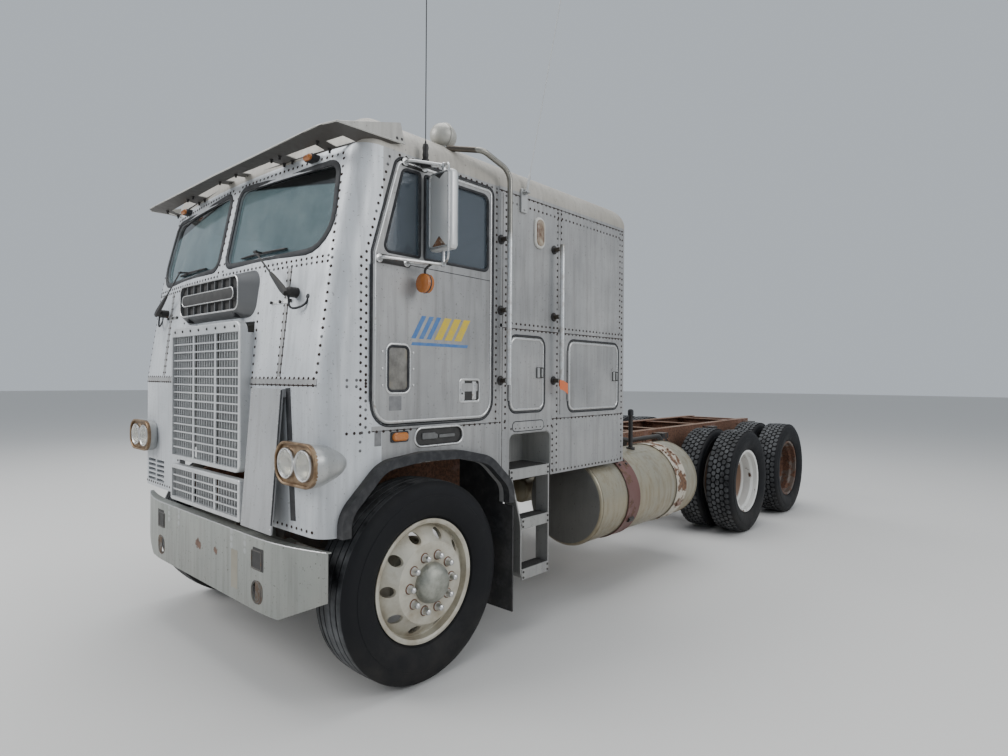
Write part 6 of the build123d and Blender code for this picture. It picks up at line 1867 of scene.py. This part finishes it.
# Height of the top, front, rear and depth of each tread
ladder_treads = [(1.044, 0.655, 1.040, 0.220), (0.728, 0.766, 1.040, 0.098), (0.412, 0.772, 1.040, 0.098)]
well_face, well_back = 1.1405, 0.905
for side_name, side, outward in truck_sides:
    wall = on_side(side, ladder_face)
    form = bmesh.new()
    middles = [
        Vector((side * (ladder_face - ladder_depth / 2), aft(spot.x), spot.y))
        for spot in ladder_loop
    ]
    half = ladder_depth / 2
    run_moulding(
        form, middles, [outward] * len(middles),
        [
            (-0.006, -half), (-0.006, half - 0.002), (-0.004, half), (0.004, half), (0.006, half - 0.002),
            (0.006, -half),
        ],
        False,
    )
    for top, front_aft, rear_aft, depth in ladder_treads:
        middle, half_long = (front_aft + rear_aft) / 2, (rear_aft - front_aft) / 2
        add_plate(
            form, (middle, top - 0.034), (half_long, 0.034), 0.006,
            [(0, -0.006), (0, 0.0015), (0.002, 0.0035)], wall,
        )
        tray = [
            (middle - half_long, top - 0.010), (middle + half_long, top - 0.010), (middle + half_long, top),
            (middle - half_long, top),
        ]
        add_skin(form, [[wall(back, up, out) for back, up in tray] for out in (-depth, 0.0)])
    well = [(0.6465, 1.044), (1.0455, 1.044), (1.0455, 1.257), (0.6465, 1.257)]
    inner = rounded_outline(well, [0.010, 0.010, 0.040, 0.040], 5)
    outer = shrunk(inner, -0.003)
    rings = [
        [Vector((side * x, aft(spot.x), spot.y)) for spot in outline]
        for x, outline in (
            (well_back, outer), (well_face, outer), (well_face, inner), (well_back + 0.003, inner),
        )
    ]
    add_skin(form, rings)
    new_piece(
        "ladder_frame_" + side_name, form, step_alloy, "cab", ("ladders",) if side > 0 else (),
    )
    form = bmesh.new()
    for top, front_aft, rear_aft, depth in ladder_treads:
        middle, half_long = (front_aft + rear_aft) / 2, (rear_aft - front_aft) / 2
        rings = []
        for drawn_in, out in ((0, 0.0), (0, 0.002), (0.001, 0.0032)):
            outline = plate_ring(
                middle, side * (ladder_face - depth / 2), half_long - 0.012 - drawn_in,
                depth / 2 - 0.006 - drawn_in, 0.006,
            )
            rings.append([Vector((spot.y, aft(spot.x), top + out)) for spot in outline])
        add_skin(form, rings)
    new_piece("tread_grit_" + side_name, form, grit, "cab", ())
    form = bmesh.new()
    for top, front_aft, rear_aft, depth in ladder_treads:
        for back in (front_aft + 0.014, rear_aft - 0.014):
            for lift in (-0.052, -0.018):
                add_turned_cap(
                    form, wall(back, top + lift, 0.003), outward,
                    [(0, 0.0075), (0.004, 0.0075), (0.0055, 0.005), (0.0055, 0)], 6,
                )
    new_piece("ladder_bolts_" + side_name, form, wiper_black, "cab", ())
    form = bmesh.new()
    tags = on_side(side, well_back + 0.003)
    add_plate(form, (0.766, 1.205), (0.030, 0.014), 0.003, [(0, 0.0), (0.0005, 0.0012)], tags)
    new_piece("well_tags_" + side_name, form, bezel_white, "cab")
    plate_piece("well_label_" + side_name, label_teal, "cab", tags, [
        ((0.758, 1.140), (0.022, 0.046), 0.004, [(0, 0.0), (0.001, 0.0022)]),
    ])
    plate_piece("skirt_plate_" + side_name, cab_silver, "cab", on_side(side), [
        ((0.824, 1.302), (0.150, 0.028), 0.026, [(0, 0), (0, 0.0015), (0.001, 0.0026)]),
    ])
    form = bmesh.new()
    side_moulding(
        form, plate_ring(0.824, 1.302, 0.153, 0.031, 0.029, 8), side, cab_side_x, flat_bead(0.006, 0.0012),
    )
    new_piece("skirt_plate_line_" + side_name, form, black_rubber, "cab", ())

# Fuel tanks: rolled aluminium drums with dished ends and a welded seam, yellowed by fuel, held
# in steel straps: the front strap brown-red, the rear one flaking cream.
tank_alloy = weathered_finish(
    "tank_alloy", 0.55, (0.33, 0.315, 0.255, 1), (0.42, 0.375, 0.265, 1), rusting=0.16,
    Grime=(0.17, 0.105, 0.035, 1), Gloss=0.12, Streaks=0.8, Specks=0.5, Grime_Height=1.0, Dents=0.25,
)
dress(tank_alloy, "tanks")
strap_paint = rusted_finish("strap_paint", (0.12, 0.045, 0.04, 1), (0.16, 0.075, 0.045, 1), 0.4, 6.0, 0.25)
end_grey = weathered_finish(
    "tank_end_grey", 0.4, (0.15, 0.148, 0.138, 1), (0.235, 0.23, 0.21, 1), rusting=0.13,
    Streaks=0.4, Specks=1.0, Grime_Height=1.0, Dents=0.2,
)
dress(wiper_black, "tank_fittings")
tank_radius = 0.330
tank_x = 0.885
tank_height = 0.690
for side_name, side, outward in truck_sides:
    dish = [
        (-0.006, 0.3120), (0.001, 0.3120), (0.006, 0.2900), (0.013, 0.2100), (0.018, 0.1100), (0.020, 0.0),
    ]
    form = bmesh.new()
    for back, out in ((1.560, forward), (3.120, rearward)):
        add_turned_cap(form, Vector((side * tank_x, aft(back), tank_height)), out, dish, 64)
    new_piece("tank_ends_" + side_name, form, end_grey, "chassis", ())
    form = bmesh.new()
    for back, out in ((1.560, 1), (3.120, -1)):
        middle = Vector((side * tank_x, aft(back + out * 0.026), tank_height))
        add_turned_ring(
            form, middle, forward,
            [
                (-0.006, tank_radius - 0.004), (-0.005, tank_radius + 0.003), (0.005, tank_radius + 0.003),
                (0.006, tank_radius - 0.004),
            ],
            72,
        )
    seam_way = Vector((side * 0.42, 0, 0.91)).normalized()
    for ends in ((1.59, 2.00), (2.10, 2.75)):
        seam = [
            Vector((side * tank_x, aft(back), tank_height)) + seam_way * (tank_radius - 0.0005)
            for back in ends
        ]
        run_moulding(form, seam, [seam_way] * 2, round_bead(0.012, 0.003), False)
    new_piece("tank_seams_" + side_name, form, tank_alloy, "chassis", ())
    band = [
        (-0.086, 0.334), (-0.086, 0.3385), (-0.080, 0.3410), (-0.074, 0.3390), (0.074, 0.3390),
        (0.080, 0.3410), (0.086, 0.3385), (0.086, 0.334),
    ]
    for name, back, finish in (("front", 2.002, strap_paint), ("rear", 2.796, strap_cream)):
        form = bmesh.new()
        middle = Vector((side * tank_x, aft(back), tank_height))
        add_turned_ring(form, middle, forward, band, 72)
        new_piece("strap_" + name + "_" + side_name, form, finish, "chassis", ())
        form = bmesh.new()
        for lift in (1.02, 0.92, 0.82):
            way = Vector((side * cos(lift), 0, sin(lift)))
            for shift in (-0.045, 0.045):
                add_turned_cap(
                    form, middle + way * 0.338 + Vector((0, shift, 0)), way,
                    [(0, 0.011), (0.008, 0.011), (0.010, 0.007), (0.010, 0)], 6,
                )
        way = Vector((side * cos(-0.5), 0, sin(-0.5)))
        lug = [(middle + way * 0.345 + Vector((0, shift, 0)), 0.020, 0.010) for shift in (-0.034, 0.034)]
        add_tapered_bar(form, lug, way)
        new_piece(
            "strap_bolts_" + name + "_" + side_name, form, rail_rust if name == "rear" else wiper_black,
            "chassis", (),
        )
form = bmesh.new()
stack_top = Vector((0.950, aft(2.400), 1.340))
add_turned_cap(
    form, stack_top, skyward,
    [(-0.050, 0.0195), (-0.046, 0.024), (-0.012, 0.024), (-0.002, 0.020), (0.003, 0.010), (0.004, 0)], 20,
)
new_piece("stack_knob", form, black_rubber, "chassis", ())

# Grab rails: bent tube, polished low down, on dark standoffs, each with a bolted flange on the
# cab, and one flag of orange tape at the foot of the rear rail.
rail_steel, tree, shader = new_finish("rail_steel", 0.9, 0.25)
place = truck_place(tree)
tarnish = speckle(tree, place, 24.0)
steel = blended(tree, ramped(tree, tarnish, 0.5, 0.8), (0.72, 0.73, 0.73, 1), (0.38, 0.34, 0.29, 1))
steel = blended(tree, ramped(tree, axis_of(tree, place, "Z"), 2.38, 2.46), steel, (0.30, 0.29, 0.26, 1))
reach = maths(tree, "ABSOLUTE", axis_of(tree, place, "X"))
feed(shader, "Base Color", blended(tree, ramped(tree, reach, 1.198, 1.192), steel, (0.11, 0.095, 0.08, 1)))
feed(shader, "Roughness", ramped(tree, tarnish, -0.1, 1.6))
dress(rail_steel, "grab_rails")
orange_tape = mottled_finish(
    "orange_tape", 0.0, 0.55, (30.0,), (0.72, 0.13, 0.03, 1), (0.60, 0.20, 0.09, 1),
)
for side_name, side, outward in truck_sides:
    form = bmesh.new()
    for back, heights in ((0.560, (1.584, 2.000, 2.420)), (1.076, (1.584, 2.000, 2.440))):
        for height in heights:
            foot = Vector((side * cab_side_x, aft(back), height))
            add_turned_ring(
                form, foot, outward,
                [
                    (0.0, 0.013), (0.0, 0.029), (0.004, 0.029), (0.007, 0.018), (0.010, 0.0155),
                    (0.010, 0.013),
                ],
                24,
            )
            for turn in range(3):
                angle = tau * turn / 3 + 0.5
                add_turned_cap(
                    form, foot + Vector((side * 0.004, 0.023 * cos(angle), 0.023 * sin(angle))), outward,
                    [(0, 0.0045), (0.003, 0.004), (0.004, 0)], 8,
                )
    new_piece("rail_flanges_" + side_name, form, wiper_black, "cab", ())
form = bmesh.new()
flag = [(1.034, 1.590), (1.076, 1.584), (1.122, 1.566), (1.124, 1.496), (1.078, 1.520), (1.036, 1.530)]
add_skin(form, [[Vector((1.2275 + out, aft(back), up)) for back, up in flag] for out in (0.0, 0.0012)])
add_turned_ring(
    form, Vector((1.211, aft(1.076), 1.566)), skyward,
    [(-0.020, 0.0161), (-0.020, 0.0172), (0.020, 0.0172), (0.020, 0.0161)], 24,
)
new_piece("rail_tape", form, orange_tape, "cab")

# Frame hardware: rows of bolts through the rails at each crossmember, hanger and bracket.
form = bmesh.new()
for side_name, side, outward in truck_sides:
    for member in (2.700, 3.560, 4.040, 5.050, 6.060, 6.390):
        for lift in (0.845, 0.890, 0.960, 1.005):
            for shift in (-0.028, 0.028):
                base = Vector((side * 0.432, aft(member + shift), lift))
                add_turned_cap(
                    form, base, outward,
                    [
                        (-0.001, 0.014), (0.003, 0.014), (0.003, 0.0115), (0.013, 0.0110), (0.014, 0.008),
                        (0.014, 0),
                    ],
                    6,
                )
    for hanger in (3.790, 5.050, 6.310):
        for lift in (0.760, 0.860, 0.960):
            for shift in (-0.040, 0.040):
                base = Vector((side * 0.556, aft(hanger + shift), lift))
                add_turned_cap(
                    form, base, outward, [(-0.001, 0.013), (0.009, 0.012), (0.011, 0.008), (0.011, 0)], 6,
                )
new_piece("frame_bolts", form, rail_rust, "chassis", ())

# Rear lamps: round red lenses in black rubber rings on the last crossmember.
red_lens, tree, shader = new_finish("red_lens", 0.0, 0.2)
shader.inputs["Coat Weight"].default_value = 0.4
rings = waves(tree, 40.0, "Z")
feed(shader, "Base Color", blended(tree, rings, (0.30, 0.012, 0.012, 1), (0.48, 0.03, 0.025, 1)))
give_relief(tree, shader, rings, 0.0006)
lamp_low, lamp_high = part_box("rear_lamps")
lenses, surrounds = bmesh.new(), bmesh.new()
for place_x in (-0.320, -0.180, 0.180, 0.320):
    base = Vector((place_x, lamp_low.y, (lamp_low.z + lamp_high.z) / 2))
    add_turned_cap(
        lenses, base, rearward, [(0, 0.046), (0.008, 0.046), (0.0125, 0.036), (0.014, 0.018), (0.0145, 0)],
        32,
    )
    add_turned_ring(
        surrounds, base, rearward, [(0, 0.044), (0, 0.055), (0.008, 0.055), (0.011, 0.051), (0.011, 0.044)],
        32,
    )
new_piece("rear_lenses", lenses, red_lens, "chassis", ("rear_lamps",))
new_piece("rear_lamp_rings", surrounds, black_rubber, "chassis", ())

# Inside the cab: dark moulded trim, a dashboard and wheel in black, two seats and the bunk.
cab_trim = rusted_finish("cab_trim", (0.045, 0.045, 0.048, 1), (0.07, 0.065, 0.06, 1), 0.3, 4.0, 0.5)
dress(cab_trim, "dashboard")
liner_grey = rusted_finish("liner_grey", (0.20, 0.195, 0.18, 1), (0.11, 0.095, 0.075, 1), 0.35, 5.0, 0.5)
dress(liner_grey, "cab_floor")

# Seats and bunk: worn grey cloth over foam, each cushion crowned and pulled in by its sewn
# channels, on boxed steel pedestals.
seat_cloth, tree, shader = new_finish("seat_cloth", 0.0, 0.9)
weave = multiplied(tree, waves(tree, 150.0, "X", 0.6), waves(tree, 150.0, "Y", 0.6))
rubbed = ramped(tree, speckle(tree, truck_place(tree), 4.0), 0.35, 0.7)
cloth = blended(tree, rubbed, (0.085, 0.08, 0.078, 1), (0.15, 0.14, 0.13, 1))
feed(shader, "Base Color", blended(tree, weave, cloth, (0.05, 0.048, 0.047, 1)))
give_relief(tree, shader, weave, 0.0006)


def add_cushion(name, middle, half, turn, channels, body="cab", nodes=()):
    """A crowned cushion; half is (across, along, up), turn leans it about x, and its channels run
    along it at even spacings."""
    form = bmesh.new()
    bmesh.ops.create_cube(form, size=2.0)
    bmesh.ops.subdivide_edges(form, edges=form.edges[:], cuts=17, use_grid_fill=True)
    lean = Matrix.Rotation(turn, 3, "X")
    for vertex in form.verts:
        p = vertex.co.copy()
        ball = Vector((
            p.x * (1 - p.y ** 2 / 2 - p.z ** 2 / 2 + p.y ** 2 * p.z ** 2 / 3) ** 0.5,
            p.y * (1 - p.x ** 2 / 2 - p.z ** 2 / 2 + p.x ** 2 * p.z ** 2 / 3) ** 0.5,
            p.z * (1 - p.y ** 2 / 2 - p.x ** 2 / 2 + p.y ** 2 * p.x ** 2 / 3) ** 0.5,
        ))
        eased = p.lerp(ball, 0.30)
        dip = 0.0
        if channels:
            dip = 0.012 * abs(cos(pi * channels * (p.x + 1) / 2)) ** 14 * (1 - p.y ** 4)
        shaped = Vector((eased.x * half[0], eased.y * half[1], eased.z * half[2]))
        if p.z > 0.95:
            shaped.z -= dip
        wrinkle = noise.noise(Vector((shaped.x * 9, shaped.y * 9, shaped.z * 9 + len(name)))) * 0.004
        shaped += shaped.normalized() * (wrinkle - 0.004)
        vertex.co = middle + lean @ shaped
    piece = new_piece(name, form, seat_cloth, body, nodes, 60)
    return piece


bunk_middle = Vector((0, aft(1.5005), 1.950))
add_cushion("bunk_mattress", bunk_middle, (1.104, 0.418, 0.083), 0.0, 6, "cab", ("seats_and_bunk",))
for side_name, side, outward in truck_sides:
    seat_middle = Vector((side * 0.760, aft(0.335), 1.480))
    add_cushion("seat_cushion_" + side_name, seat_middle, (0.243, 0.243, 0.076), 0.0, 4)
    back_lean = atan2(0.150, 0.700)
    back_middle = Vector((side * 0.760, aft(0.640), 1.845))
    add_cushion("seat_back_" + side_name, back_middle, (0.240, 0.345, 0.062), pi / 2 - back_lean, 4)
    form = bmesh.new()
    for drawn_in, low, high in ((0.0, 1.186, 1.215), (0.030, 1.215, 1.340), (0.010, 1.340, 1.402)):
        rings = []
        for height in (low, high):
            outline = plate_ring(side * 0.760, aft(0.330), 0.160 - drawn_in, 0.160 - drawn_in, 0.02)
            rings.append([Vector((spot.x, spot.y, height)) for spot in outline])
        add_skin(form, rings)
    new_piece("seat_pedestal_" + side_name, form, cab_trim, "cab", ())
